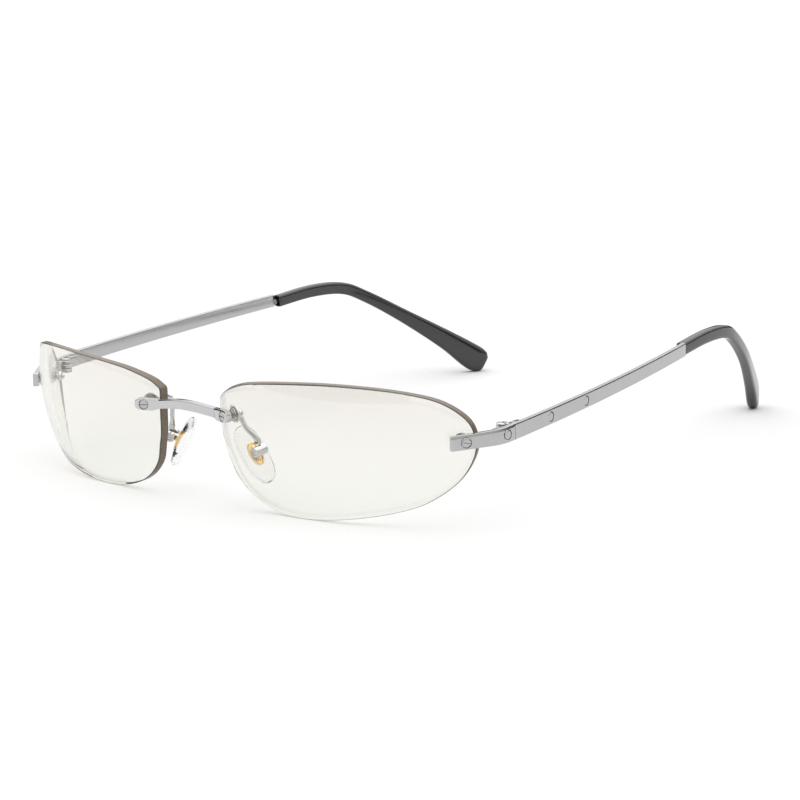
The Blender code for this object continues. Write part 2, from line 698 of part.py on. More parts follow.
def make_endpiece_mount(hand, side):
    """Screw, washers and nut that clamp the endpiece to the lens."""
    point, axis = endpiece_screw()
    length = ENDPIECE_THICKNESS + LENS_THICKNESS + ENDPIECE_SCREW_BEHIND
    headed_screw(f"{hand}_endpiece_screw", side, point - axis * HEAD_PROUD, axis, LENS_SCREW_HEAD,
                 LENS_SCREW_SHANK, length, STEEL)
    hole = LENS_SCREW_SHANK + HOLE_GAP
    spacer = ENDPIECE_THICKNESS + GAP
    washer(f"{hand}_endpiece_spacer", side, point, axis, spacer, hole, ENDPIECE_WASHER_RADIUS,
           SPACER_THICKNESS, NYLON)
    behind = spacer + SPACER_THICKNESS + LENS_THICKNESS + 2 * GAP + LENS_BACK_GAP
    washer(f"{hand}_endpiece_washer", side, point, axis, behind, hole, ENDPIECE_WASHER_RADIUS,
           WASHER_THICKNESS, NYLON)
    behind += WASHER_THICKNESS + GAP
    washer(f"{hand}_endpiece_nut", side, point, axis, behind, hole, NUT_RADIUS,
           ENDPIECE_NUT_DEPTH, STEEL)


def make_temple(hand, side, parent):
    stations = temple_stations()
    temple = strip(f"{hand}_temple", side, (1, 0, 0), stations, TEMPLE_THICKNESS, STRIP_STEEL)
    low, high = KNUCKLES_Z["middle"]
    boolean(temple, knuckle(f"{hand}_middle_knuckle", side, "middle"), "UNION")
    inner = stations[0][0] - TEMPLE_THICKNESS / 2
    boolean(temple, hinge_piece(f"{hand}_middle_web", side, (HINGE_X + 0.3, HINGE_Y + 0.1, low),
                                (HINGE_X + KNUCKLE_RADIUS, HINGE_Y + 3.0, high)),
            "UNION")
    boolean(temple, hinge_piece(f"{hand}_rear_leaf", side,
                                (HINGE_X + 0.3, HINGE_Y + 1.7, low - 0.05),
                                (inner, HINGE_Y + 4.4, STRIP_SPLIT_Z + 1.75)), "UNION")
    drill(temple, side, (HINGE_X, HINGE_Y, 15.0), (0, 0, 1), KNUCKLE_HOLE, 8.0)
    route = [Vector(station[:3]) for station in TIP_ROUTE[:CORE_POINTS]]
    route[0] = route[0] - CORE_START
    wire = path_curve([place(side, p) for p in route], [1.0] * len(route), depth=CORE_RADIUS * MM)
    boolean(temple, solid_of_curve(f"{hand}_core_wire", wire), "UNION")
    for where, y in TEMPLE_STUDS_Y.items():
        outer = temple_x(y)
        z = STRIP_SPLIT_Z + TEMPLE_RISE * (y - SPLIT_Y)
        lean = (y - SPLIT_Y) / TEMPLE_BOW
        axis = Vector((-cos(lean), -sin(lean), 0.0))
        point = Vector((outer, y, z))
        drill(temple, side, point - axis, axis, STUD_RADIUS + HOLE_GAP, 1.0 + STUD_LENGTH)
        stud(f"{hand}_temple_stud_{where}", side, point + axis * 0.02, axis, parent)
    hang(temple, parent)


def make_tip(hand, side, parent):
    """The moulded sleeve over the temple's core wire."""
    stations = smooth_route(TIP_ROUTE, TIP_STEPS)
    rings = []
    for i, (x, y, z, half_thickness, half_height) in enumerate(stations):
        ahead = Vector(stations[min(i + 1, len(stations) - 1)][:3])
        behind = Vector(stations[max(i - 1, 0)][:3])
        along = (ahead - behind).normalized()
        across = along.cross(Vector((0.0, 0.0, 1.0))).normalized()
        upright = across.cross(along)
        ring_points = []
        for k in range(TIP_SIDES):
            angle = 2 * pi * k / TIP_SIDES
            u, v = (copysign(abs(t) ** (2 / TIP_SQUARENESS), t) for t in (cos(angle), sin(angle)))
            ring_points.append(Vector((x, y, z)) + across * half_thickness * u
                               + upright * half_height * v)
        rings.append(ring_points)

    def build(made):
        rows = [[made.verts.new(place(side, point)) for point in ring_points]
                for ring_points in rings]
        for a, b in zip(rows, rows[1:]):
            for k in range(TIP_SIDES):
                j = (k + 1) % TIP_SIDES
                made.faces.new((a[k], a[j], b[j], b[k]))
        made.faces.new(rows[0])
        made.faces.new(rows[-1])
    sleeve = add(f"{hand}_temple_tip", mesh_from("temple_tip", build), ACETATE)
    route = [Vector(station[:3]) for station in TIP_ROUTE[:CORE_POINTS + 1]]
    route[-1] = route[-2].lerp(route[-1], 0.4)
    route[0] = route[0] - CORE_START
    bore = path_curve([place(side, p) for p in route], [1.0] * len(route),
                      depth=(CORE_RADIUS + HOLE_GAP) * MM)
    boolean(sleeve, solid_of_curve(f"{hand}_tip_bore", bore))
    hang(sleeve, parent)


def make_side(hand, side):
    make_lens(hand, side)
    make_bridge_mount(hand, side)
    make_pad_arm(hand, side)
    make_pad_box(hand, side)
    pad_axis = empty(f"{hand}_pad_pivot", place(side, pad_pivot()))
    make_pad(hand, side, pad_axis)
    make_endpiece(hand, side)
    make_endpiece_mount(hand, side)
    headed_screw(f"{hand}_hinge_screw", side, (HINGE_X, HINGE_Y, HINGE_HEAD_Z[1]), (0, 0, -1),
                 (HINGE_HEAD_RADIUS, HINGE_HEAD_Z[1] - HINGE_HEAD_Z[0]), HINGE_PIN,
                 HINGE_HEAD_Z[1] - KNUCKLES_Z["bottom"][0] - 0.1, STEEL)
    hinge_axis = empty(f"{hand}_hinge_axis", place(side, (HINGE_X, HINGE_Y, STRIP_SPLIT_Z)))
    make_temple(hand, side, hinge_axis)
    make_tip(hand, side, hinge_axis)


make_bridge()
for hand, side in (("left", 1), ("right", -1)):
    make_side(hand, side)
bpy.context.view_layer.update()
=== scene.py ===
"""Rimless eyeglasses on a pale table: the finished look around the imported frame.

The wearer looks along -Y and the wearer's left is +X. Dimensions are in millimetres for the left
hand, measured back from the lens datum. Pieces are shaped in millimetres and become metres where
they are dressed. The right-hand pieces are the same shapes on the other side of X = 0.
"""
from math import cos, hypot, pi, radians, sin, sqrt

import bmesh
import bpy
from mathutils import Matrix, Vector


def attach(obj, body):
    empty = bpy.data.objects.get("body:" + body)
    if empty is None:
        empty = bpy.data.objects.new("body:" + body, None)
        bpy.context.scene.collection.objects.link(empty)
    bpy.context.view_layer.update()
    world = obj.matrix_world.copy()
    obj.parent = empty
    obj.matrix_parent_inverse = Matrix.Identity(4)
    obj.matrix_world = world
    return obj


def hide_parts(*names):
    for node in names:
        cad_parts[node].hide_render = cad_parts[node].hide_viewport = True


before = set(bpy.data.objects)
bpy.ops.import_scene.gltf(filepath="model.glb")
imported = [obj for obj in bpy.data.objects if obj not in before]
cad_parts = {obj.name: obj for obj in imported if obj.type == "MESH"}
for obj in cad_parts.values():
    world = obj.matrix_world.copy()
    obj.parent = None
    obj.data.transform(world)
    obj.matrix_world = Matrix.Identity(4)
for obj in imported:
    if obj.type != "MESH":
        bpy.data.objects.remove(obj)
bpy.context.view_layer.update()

MM = 0.001
FRONT_TO_ORIGIN = 76.28
GAP = 0.12  # between pieces that touch
HOLE_GAP = 0.15  # round a screw
LENS_BACK_GAP = 0.26  # behind the lens, whose back is curved and a seal is flat
SHARP = radians(32)  # the least corner that stays an edge when the piece is smoothed
UP = Vector((0.0, 0.0, 1.0))
BACKWARDS = Vector((0.0, 1.0, 0.0))

# Lens
LENS_VERTEX = Vector((39.3, -0.3, 14.765))
LENS_WRAP = radians(17.9)
LENS_TILT = radians(9.5)
LENS_RADIUS = 45.0
LENS_THICKNESS = 2.0
LENS_OUTLINE = (
    (-28.9, 6.3), (-28.4, -0.8), (-27.3, -5.0), (-25.4, -9.4), (-21.7, -13.0), (-16.8, -15.0),
    (-11.5, -15.6), (-4.5, -15.3), (4.2, -14.2), (12.8, -12.7), (19.2, -10.8), (25.0, -7.0),
    (28.0, -2.6), (28.8, 1.6), (27.4, 6.3), (22.8, 10.6), (16.3, 13.1), (8.0, 14.6),
    (-1.5, 15.05), (-11.5, 14.3), (-20.0, 12.65), (-25.5, 10.35), (-28.1, 8.3),
)
LENS_RINGS = 14
FRONT_BEVEL = 0.16
BACK_BEVEL = 0.95

# Bridge
BRIDGE_SCREW_X = 12.0
BRIDGE_SCREW_Z = 20.7
BRIDGE_THICKNESS = 1.3
BRIDGE_PAD_HEIGHT = 2.7
BRIDGE_BAR_HEIGHT = 2.1
BRIDGE_ARCH = 1.1
BRIDGE_STEP = 0.16  # share of the arch that the step beside each pad climbs

# Endpiece and temple strips
ENDPIECE_TIP = (62.0, 12.0)
ENDPIECE_HEADING = radians(54.5)
ENDPIECE_STRAIGHT = 8.5
ENDPIECE_BEND = 8.0
SPLIT_Y = 25.0
ENDPIECE_THICKNESS = 1.3
ENDPIECE_SCREW_ALONG = 3.2
ENDPIECE_SCREW_RAISE = 0.18
TEMPLE_THICKNESS = 1.1
TEMPLE_BOW = 440.0
TEMPLE_END_Y = 94.8
TEMPLE_RISE = 0.084
STRIP_TIP_Z = 18.25
STRIP_SPLIT_Z = 19.45
STRIP_TIP_HEIGHT = 3.0
STRIP_SPLIT_HEIGHT = 3.35
STRIP_END_HEIGHT = 2.95
STUD_RADIUS = 1.0
STUD_LENGTH = 0.6
ENDPIECE_STUD_PROUD = 0.02
TEMPLE_STUD_SUNK = 0.02
TEMPLE_STUDS_Y = {"front": 37.3, "rear": 50.5}
ENDPIECE_STUD_Y = 22.6
ENDPIECE_STUD_Z = 19.25

# Lens screws, with their seals and nuts
SCREW_HEAD = (1.05, 0.4)  # radius and depth
SCREW_HOLE = 0.6
SCREW_SHANK = 0.58
SCREW_PROUD = 0.04
SCREW_SLOT = (0.14, 0.33)  # half width and depth
SCREW_UPRIGHT = (0.1, 0.1, 1.0)
COUNTERBORE = 0.5
SEAL_THICKNESS = 0.25
SPACER_THICKNESS = 0.5
BRIDGE_SEAL_RADIUS = 1.4
ENDPIECE_SEAL_RADIUS = 1.35
NUT_RADIUS = 1.2
BRIDGE_NUT_DEPTH = 0.85
ENDPIECE_NUT_DEPTH = 0.75
BRIDGE_SCREW_BEHIND = 2.45
ENDPIECE_SCREW_BEHIND = 2.9

# Hinge
HINGE_X = 65.45
HINGE_Y = 24.6
KNUCKLE_RADIUS = 1.45
KNUCKLE_HOLE = 0.7
HINGE_PIN = 0.55
KNUCKLES_Z = {"bottom": (17.7, 18.6), "middle": (18.75, 19.7), "top": (19.85, 20.6)}
HINGE_HEAD_Z = (20.7, 21.15)
HINGE_HEAD_RADIUS = 1.35
HINGE_BORE_FROM = 15.0
HINGE_BORE_LENGTH = 8.0

# Nose pads
PAD_CENTRE = Vector((10.85, 8.8, 10.6))
PAD_UP = Vector((-0.534, -0.1, 0.84)).normalized()
PAD_SPLAY = radians(22.0)
PAD_HALF = (2.95, 6.8)
PAD_TO_BOX = 3.0
BOX_RADIUS = 1.25
BOX_LENGTH = 2.9
PAD_PIN_RADIUS = 0.35
PAD_PIN_HEAD = (0.62, 0.16)
EYELET_RADIUS = 1.75
EYELET_THICKNESS = 0.5
# Middle points of the arm's route, with its half width and half thickness.
PAD_ARM_ROUTE = ((9.9, 4.0, 21.6, 0.48, 0.34), (10.2, 5.2, 20.3, 0.50, 0.34),
                 (11.3, 6.1, 17.0, 0.60, 0.32))
PAD_ARM_SQUARENESS = 3.077
PAD_SQUARENESS = 2.35
TAB_THICKNESS = 0.8
TAB_RADIUS = 0.75

# Temple tips: centre, half thickness and half height
TIP_ROUTE = (
    (61.35, 95.0, 25.2, 1.15, 1.50), (60.1, 106.5, 26.3, 1.15, 1.52), (58.6, 116.5, 25.8, 1.15, 1.52),
    (56.7, 123.6, 22.9, 1.12, 1.50), (52.8, 133.8, 16.8, 1.18, 1.75), (47.5, 144.6, 9.4, 1.35, 2.55),
    (44.2, 151.0, 4.35, 1.50, 3.35), (42.9, 153.4, 2.67, 1.40, 3.05), (42.3, 154.5, 1.92, 0.90, 1.95),
)
TIP_SQUARENESS = 4.0
TIP_STEPS = 10
CORE_RADIUS = 0.65
CORE_POINTS = 6
CORE_START = Vector((0.35, -0.4, -0.17))  # from the first tip point, inside the strip's end


# ---------------------------------------------------------------- shapes

def place(side, point):
    """The point of a left-hand dimension, on this side and about the frame's origin."""
    return Vector((side * point[0], point[1] - FRONT_TO_ORIGIN, point[2]))


def axes(direction, upright=UP):
    """Two directions across the given one: sideways, and as near upright as can be."""
    z = Vector(direction).normalized()
    if abs(z.dot(Vector(upright).normalized())) > 0.999:
        upright = BACKWARDS
    x = Vector(upright).cross(z).normalized()
    return x, z.cross(x)


def spline(points, steps, closed=False):
    """A smooth line through the points, each a tuple of any length."""
    count = len(points)
    dense = []

    def near(i):
        return points[i % count if closed else min(max(i, 0), count - 1)]

    for i in range(count if closed else count - 1):
        a, b, c, d = (near(i + k) for k in (-1, 0, 1, 2))
        for step in range(steps):
            t = step / steps
            dense.append(tuple(
                0.5 * (2 * q + (r - p) * t + (2 * p - 5 * q + 4 * r - s) * t * t
                       + (3 * q - p - 3 * r + s) * t**3)
                for p, q, r, s in zip(a, b, c, d)))
    if not closed:
        dense.append(tuple(points[-1]))
    return dense


def turn_outwards(made):
    """Puts every face of a closed shell outwards."""
    bmesh.ops.recalc_face_normals(made, faces=made.faces)
    if made.calc_volume(signed=True) < 0:
        bmesh.ops.reverse_faces(made, faces=made.faces)
    made.normal_update()


def solid(name, made):
    turn_outwards(made)
    data = bpy.data.meshes.new(name)
    made.to_mesh(data)
    made.free()
    obj = bpy.data.objects.new(name, data)
    bpy.context.scene.collection.objects.link(obj)
    return obj


def piece(name, side, layers, caps=(True, True), slots=None):
    """A skin over closed rings of left-hand points, with UVs in millimetres along and round."""
    made = bmesh.new()
    uv = made.loops.layers.uv.new("length")
    rows = [[made.verts.new(place(side, point)) for point in ring] for ring in layers]
    along = [0.0]
    for a, b in zip(layers, layers[1:]):
        along.append(along[-1] + (Vector(b[0]) - Vector(a[0])).length)
    for k, (a, b) in enumerate(zip(rows, rows[1:])):
        count = max(len(a), len(b))
        round_ = [0.0]
        ring = layers[k] if len(a) > 1 else layers[k + 1]
        for i in range(count):
            round_.append(round_[-1] + (Vector(ring[(i + 1) % count]) - Vector(ring[i])).length)
        for i in range(count):
            j = (i + 1) % count
            if len(a) == 1:
                corners = ((a[0], k, i), (b[j], k + 1, i + 1), (b[i], k + 1, i))
            elif len(b) == 1:
                corners = ((a[i], k, i), (a[j], k, i + 1), (b[0], k + 1, i))
            else:
                corners = ((a[i], k, i), (a[j], k, i + 1), (b[j], k + 1, i + 1), (b[i], k + 1, i))
            face = made.faces.new([corner[0] for corner in corners])
            if slots:
                face.material_index = slots[k]
            for loop, (_, level, step) in zip(face.loops, corners):
                loop[uv].uv = (along[level], round_[step])
    for cap, row in zip(caps, (rows[0], rows[-1])):
        if cap and len(row) > 2:
            made.faces.new(row)
    bmesh.ops.remove_doubles(made, verts=made.verts, dist=1e-4)
    return solid(name, made)


def oval_ring(half, power, steps, centre, x, y, z, depth):
    """A closed ring across x and y, at a depth along z: an oval, squarer at a higher power."""
    points = []
    for i in range(steps):
        t = 2 * pi * i / steps
        a, b = cos(t), sin(t)
        u = half[0] * abs(a) ** (2 / power) * (1 if a >= 0 else -1)
        v = half[1] * abs(b) ** (2 / power) * (1 if b >= 0 else -1)
        points.append(centre + x * u + y * v + z * depth)
    return points


def turned(name, side, point, axis, profile, steps=40, closed=False, upright=UP):
    """A turned piece: (radius, height) down its outer side, heights measured along the axis."""
    x, y = axes(axis, upright)
    z = Vector(axis).normalized()
    point = Vector(point)
    layers = []
    for radius, height in (list(profile) + [profile[0]] if closed else profile):
        if radius < 1e-6:
            layers.append([point + z * height])
            continue
        layers.append(oval_ring((radius, radius), 2, steps, point, x, y, z, height))
    return piece(name, side, layers, (not closed, not closed))


def ring(name, side, point, axis, inner, outer, thickness, edge=0.07, steps=40):
    """A washer from the point along the axis, with softened edges."""
    profile = [(inner + edge, 0.0), (outer - edge, 0.0), (outer, edge), (outer, thickness - edge),
               (outer - edge, thickness), (inner + edge, thickness), (inner, thickness - edge),
               (inner, edge)]
    return turned(name, side, point, axis, profile, steps, closed=True)


def block(name, side, point, axis, low, high, upright=UP, bevel=0.0):
    """A box in the frame of the axis: x sideways, y upright, z along the axis."""
    x, y = axes(axis, upright)
    z = Vector(axis).normalized()
    made = bmesh.new()
    bmesh.ops.create_cube(made, size=1.0)
    for vertex in made.verts:
        corner = [a + (b - a) * (c + 0.5) for a, b, c in zip(low, high, vertex.co)]
        vertex.co = place(side, Vector(point) + x * corner[0] + y * corner[1] + z * corner[2])
    turn_outwards(made)
    if bevel:
        bmesh.ops.bevel(made, geom=made.edges[:], offset=bevel, segments=3, profile=0.5,
                        affect="EDGES")
    return solid(name, made)


def cylinder(name, side, point, axis, radius, depth, edge=0.0, steps=32, upright=UP):
    profile = [(radius, 0.0), (radius, depth)]
    if edge:
        profile = [(radius - edge, 0.0), (radius, edge), (radius, depth - edge),
                   (radius - edge, depth)]
    return turned(name, side, point, axis, profile, steps, upright=upright)


def step_drill(name, side, point, axis, head, depth, radius, length):
    """A cutter for a screw: a wide part down to the depth, from above the point, then a bore."""
    profile = [(0.0, -1.0), (head, -1.0), (head, depth), (radius, depth), (radius, length),
               (0.0, length)]
    return turned(name, side, point, axis, profile, 32)


def carve(obj, *tools, operation="DIFFERENCE"):
    """Cuts the tools from the object, or joins them to it, and removes them."""
    for tool in tools:
        step = obj.modifiers.new("cut", "BOOLEAN")
        step.operation = operation
        step.object = tool
        step.solver = "EXACT"
    bpy.context.view_layer.update()
    graph = bpy.context.evaluated_depsgraph_get()
    data = bpy.data.meshes.new_from_object(obj.evaluated_get(graph))
    obj.modifiers.clear()
    cleaned = bmesh.new()
    cleaned.from_mesh(data)
    bmesh.ops.dissolve_degenerate(cleaned, dist=2e-4, edges=cleaned.edges)
    cleaned.to_mesh(data)
    cleaned.free()
    obj.data = data
    for tool in tools:
        bpy.data.objects.remove(tool, do_unlink=True)
    return obj


def dress(obj, body, materials, replaces=()):
    """Brings the piece to metres, smooths it, gives it its materials and seats it on its body."""
    obj.data.transform(Matrix.Scale(MM, 4))
    if not isinstance(materials, (list, tuple)):
        materials = (materials,)
    faces = obj.data.polygons
    kept = [face.material_index for face in faces]
    obj.data.materials.clear()
    for made in materials:
        obj.data.materials.append(made)
    faces.foreach_set("material_index", kept if len(materials) > 1 else [0] * len(faces))
    obj.data.shade_smooth()
    obj.data.set_sharp_from_angle(angle=SHARP)
    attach(obj, body)
    if replaces:
        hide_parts(*replaces)
    return obj


def bar_section(height, thickness, edge, brow):
    """Ring of (inwards, upwards) offsets of a bar on edge: its outer face leans back near the top."""
    half = height / 2
    lean, drop = brow
    points = [(lean + 0.09, half), (lean + 0.05, half), (lean + 0.015, half - 0.015),
              (lean, half - 0.05), (lean * 0.92, half - 0.05 - (drop - 0.05) * 0.08),
              (lean * 0.08, half - drop + (drop - 0.05) * 0.08), (0.0, half - drop),
              (0.0, half - drop - 0.02)]
    for inward, up, start in ((edge, edge - half, 180), (thickness - edge, edge - half, 270),
                              (thickness - edge, half - edge, 0)):
        for step in range(5):
            turn = radians(start + step * 90 / 4)
            points.append((inward + edge * cos(turn), up + edge * sin(turn)))
    return points


def bar(name, side, stations, thickness, edge, brow, end=(0.0, 0.0)):
    """A flat bar on edge along (x, y, mid height, height) stations of its outer face."""
    layers = []
    last = len(stations) - 1
    for i, (x, y, z, height) in enumerate(stations):
        before, after = stations[max(i - 1, 0)], stations[min(i + 1, last)]
        tangent = Vector((after[0] - before[0], after[1] - before[1], 0.0)).normalized()
        inwards = Vector((-tangent.y, tangent.x, 0.0))
        centre = Vector((x, y, z))

        def layer(at, small=0.0):
            return [at + inwards * (a + small) + UP * b
                    for a, b in bar_section(height - 2 * small, thickness - 2 * small, edge, brow)]
        bevel = end[0] if i == 0 else end[1] if i == last else 0.0
        if not bevel:
            layers.append(layer(centre))
        elif i == 0:
            layers += [layer(centre, bevel), layer(centre + tangent * bevel)]
        else:
            layers += [layer(centre - tangent * bevel), layer(centre, bevel)]
    return piece(name, side, layers)


def sweep_frames(points, across):
    """(point, sideways, upright, tangent, sizes) along a route, square to it and to across."""
    frames = []
    for i, point in enumerate(points):
        before = Vector(points[max(i - 1, 0)][:3])
        after = Vector(points[min(i + 1, len(points) - 1)][:3])
        tangent = (after - before).normalized()
        sideways = tangent.cross(across).normalized()
        frames.append((Vector(point[:3]), sideways, sideways.cross(tangent), tangent, point[3:]))
    return frames


# ---------------------------------------------------------------- where things are

def lens_axes():
    across = Vector((cos(LENS_WRAP), sin(LENS_WRAP), 0.0))
    forward = Vector((sin(LENS_WRAP) * cos(LENS_TILT), -cos(LENS_WRAP) * cos(LENS_TILT),
                      -sin(LENS_TILT)))
    return across, forward.cross(across), forward


def lens_centre():
    return LENS_VERTEX - LENS_RADIUS * lens_axes()[2]


def lens_front_y(x, z):
    centre = lens_centre()
    return centre.y - sqrt(LENS_RADIUS**2 - (x - centre.x) ** 2 - (z - centre.z) ** 2)


def bridge_screw():
    """Where the left bridge screw meets the lens front, and the way into the lens."""
    point = Vector((BRIDGE_SCREW_X, lens_front_y(BRIDGE_SCREW_X, BRIDGE_SCREW_Z), BRIDGE_SCREW_Z))
    return point, (lens_centre() - point).normalized()


def endpiece_screw():
    heading = ENDPIECE_HEADING
    x = ENDPIECE_TIP[0] + ENDPIECE_SCREW_ALONG * cos(heading)
    y = ENDPIECE_TIP[1] + ENDPIECE_SCREW_ALONG * sin(heading)
    into = Vector((-sin(heading), cos(heading), 0.0))
    return Vector((x, y, STRIP_TIP_Z + ENDPIECE_SCREW_RAISE)), into


def endpiece_stations():
    """The strip runs straight along the lens and bends back, climbing evenly to the split."""
    x, y = ENDPIECE_TIP
    heading = ENDPIECE_HEADING
    plan = [(x + reach * ENDPIECE_STRAIGHT * cos(heading), y + reach * ENDPIECE_STRAIGHT * sin(heading))
            for reach in (0.0, 0.12, 0.25, 0.4, 0.55, 0.7, 0.85, 1.0)]
    x, y = plan[-1]
    for step in range(1, 13):
        now = heading + (pi / 2 - heading) * step / 12
        plan.append((x + ENDPIECE_BEND * (sin(now) - sin(heading)),
                     y + ENDPIECE_BEND * (cos(heading) - cos(now))))
    x, y = plan[-1]
    end = SPLIT_Y - GAP / 2
    plan += [(x, y + (end - y) * share) for share in (0.35, 0.7, 1.0)]
    stations = []
    for x, y in plan:
        share = (y - ENDPIECE_TIP[1]) / (SPLIT_Y - ENDPIECE_TIP[1])
        z = STRIP_TIP_Z + share * (STRIP_SPLIT_Z - STRIP_TIP_Z)
        stations.append((x, y, z, STRIP_TIP_HEIGHT + share * (STRIP_SPLIT_HEIGHT - STRIP_TIP_HEIGHT)))
    return stations


OUTER_X = endpiece_stations()[-1][0]


def temple_x(y):
    return OUTER_X - TEMPLE_BOW + sqrt(TEMPLE_BOW**2 - (y - SPLIT_Y) ** 2)


def temple_z(y):
    return STRIP_SPLIT_Z + TEMPLE_RISE * (y - SPLIT_Y)


def pad_axes():
    """The left pad's face (towards the nose), length and pivot directions."""
    face = Vector((-cos(PAD_SPLAY), sin(PAD_SPLAY), 0.0))
    face.z = -(face.x * PAD_UP.x + face.y * PAD_UP.y) / PAD_UP.z
    face.normalize()
    return face, PAD_UP, face.cross(PAD_UP)


def pad_pivot():
    return PAD_CENTRE - pad_axes()[0] * PAD_TO_BOX


# ---------------------------------------------------------------- finishes

def group(name, inputs, outputs, build):
    """A shader node group. Inputs are (name, kind, value) and outputs are (name, kind)."""
    tree = bpy.data.node_groups.new(name, "ShaderNodeTree")
    for label, kind, value in inputs:
        socket = tree.interface.new_socket(label, in_out="INPUT", socket_type=kind)
        if value is not None:
            socket.default_value = value
    for label, kind in outputs:
        tree.interface.new_socket(label, in_out="OUTPUT", socket_type=kind)
    entry = tree.nodes.new("NodeGroupInput")
    leave = tree.nodes.new("NodeGroupOutput")
    build(tree, entry.outputs, leave.inputs)
    return tree


def node(tree, kind, settings=(), **inputs):
    """A node with its settings, and its inputs by name: a plain value or an output to link."""
    made = tree.nodes.new(kind)
    for name, value in dict(settings).items():
        setattr(made, name, value)
    for name, value in inputs.items():
        socket = made.inputs[int(name[1:]) if name[1:].isdigit() else name.replace("_", " ")]
        if isinstance(value, bpy.types.NodeSocket):
            tree.links.new(value, socket)
        else:
            socket.default_value = value
    return made


def maths(tree, operation, a, b=0.0):
    return node(tree, "ShaderNodeMath", {"operation": operation}, _0=a, _1=b).outputs[0]


def span(tree, value, low, high, to_low, to_high):
    return node(tree, "ShaderNodeMapRange", {"clamp": True}, Value=value, From_Min=low,
                From_Max=high, To_Min=to_low, To_Max=to_high).outputs[0]


def build_brushed(tree, given, out):
    stretched = node(tree, "ShaderNodeVectorMath", {"operation": "MULTIPLY"}, _0=given["Vector"],
                     _1=given["Stretch"])
    fine = node(tree, "ShaderNodeTexNoise", Vector=stretched.outputs[0], Scale=1.0, Detail=3.0,
                Roughness=0.65)
    tree.links.new(fine.outputs["Fac"], out["Height"])
    tree.links.new(span(tree, fine.outputs["Fac"], 0.62, 0.75, 0.0, 1.0), out["Mask"])


def build_smudges(tree, given, out):
    broad = node(tree, "ShaderNodeTexNoise", Vector=given["Vector"], Scale=given["Scale"],
                 Detail=4.0, Roughness=0.55, Distortion=0.8)
    mask = span(tree, broad.outputs["Fac"], 0.42, 0.68, 0.0, 1.0)
    tree.links.new(mask, out["Mask"])
    value = node(tree, "ShaderNodeMapRange", Value=mask, To_Min=given["Clean"],
                 To_Max=given["Smudged"])
    tree.links.new(value.outputs[0], out["Value"])


def build_specks(tree, given, out):
    cells = node(tree, "ShaderNodeTexVoronoi", Vector=given["Vector"], Scale=given["Scale"],
                 Randomness=1.0)
    small = node(tree, "ShaderNodeMath", {"operation": "LESS_THAN"}, _0=cells.outputs["Distance"],
                 _1=given["Size"]).outputs[0]
    keep = maths(tree, "GREATER_THAN", node(tree, "ShaderNodeSeparateColor",
                 Color=cells.outputs["Color"]).outputs[0], 0.72)
    tree.links.new(maths(tree, "MULTIPLY", small, keep), out["Mask"])


def build_wear(tree, given, out):
    edge = span(tree, node(tree, "ShaderNodeNewGeometry").outputs["Pointiness"], 0.5, 0.58, 0.0, 1.0)
    broken = node(tree, "ShaderNodeTexNoise", Vector=given["Vector"], Scale=given["Scale"],
                  Detail=2.0)
    tree.links.new(maths(tree, "MULTIPLY", edge, span(tree, broken.outputs["Fac"], 0.35, 0.6,
                                                      0.0, 1.0)), out["Mask"])


VECTOR, FLOAT = "NodeSocketVector", "NodeSocketFloat"
BRUSHED = group("brushed lines", [("Vector", VECTOR, None), ("Stretch", VECTOR, (1, 1, 1))],
                [("Height", FLOAT), ("Mask", FLOAT)], build_brushed)
SMUDGES = group("hand smudges", [("Vector", VECTOR, None), ("Scale", FLOAT, 100.0),
                                 ("Clean", FLOAT, 0.1), ("Smudged", FLOAT, 0.3)],
                [("Mask", FLOAT), ("Value", FLOAT)], build_smudges)
SPECKS = group("dust specks", [("Vector", VECTOR, None), ("Scale", FLOAT, 800.0),
                               ("Size", FLOAT, 0.1)], [("Mask", FLOAT)], build_specks)
WEAR = group("worn edges", [("Vector", VECTOR, None), ("Scale", FLOAT, 900.0)],
             [("Mask", FLOAT)], build_wear)


def use(tree, effect, **inputs):
    made = node(tree, "ShaderNodeGroup", {"node_tree": effect}, **inputs)
    return made.outputs


def blend(tree, share, a, b):
    made = node(tree, "ShaderNodeMix", {"data_type": "RGBA"}, _0=share)
    for index, value in ((6, a), (7, b)):
        if isinstance(value, bpy.types.NodeSocket):
            tree.links.new(value, made.inputs[index])
        else:
            made.inputs[index].default_value = (*value, 1.0)
    return made.outputs[2]


def finish(name, **constants):
    """A new material and its Principled shader, with plain values set on the shader itself."""
    made = bpy.data.materials.new(name)
    made.use_nodes = True
    tree = made.node_tree
    shader = tree.nodes["Principled BSDF"]
    for label, value in constants.items():
        shader.inputs[label.replace("_", " ")].default_value = value
    spot = tree.nodes.new("ShaderNodeTexCoord").outputs
    return made, tree, shader, spot


def relief(tree, shader, height, strength, distance):
    bump = node(tree, "ShaderNodeBump", Strength=strength, Distance=distance * MM, Height=height)
    tree.links.new(bump.outputs[0], shader.inputs["Normal"])


def let_lamps_through(tree, shader, colour):
    """Light from lamps and from the table passes straight through, tinted."""
    clear = node(tree, "ShaderNodeBsdfTransparent", Color=(*colour, 1.0))
    path = tree.nodes.new("ShaderNodeLightPath").outputs
    rays = maths(tree, "MAXIMUM", path["Is Shadow Ray"], path["Is Diffuse Ray"])
    mix = node(tree, "ShaderNodeMixShader", _0=rays, _1=shader.outputs[0], _2=clear.outputs[0])
    tree.links.new(mix.outputs[0], tree.nodes["Material Output"].inputs["Surface"])


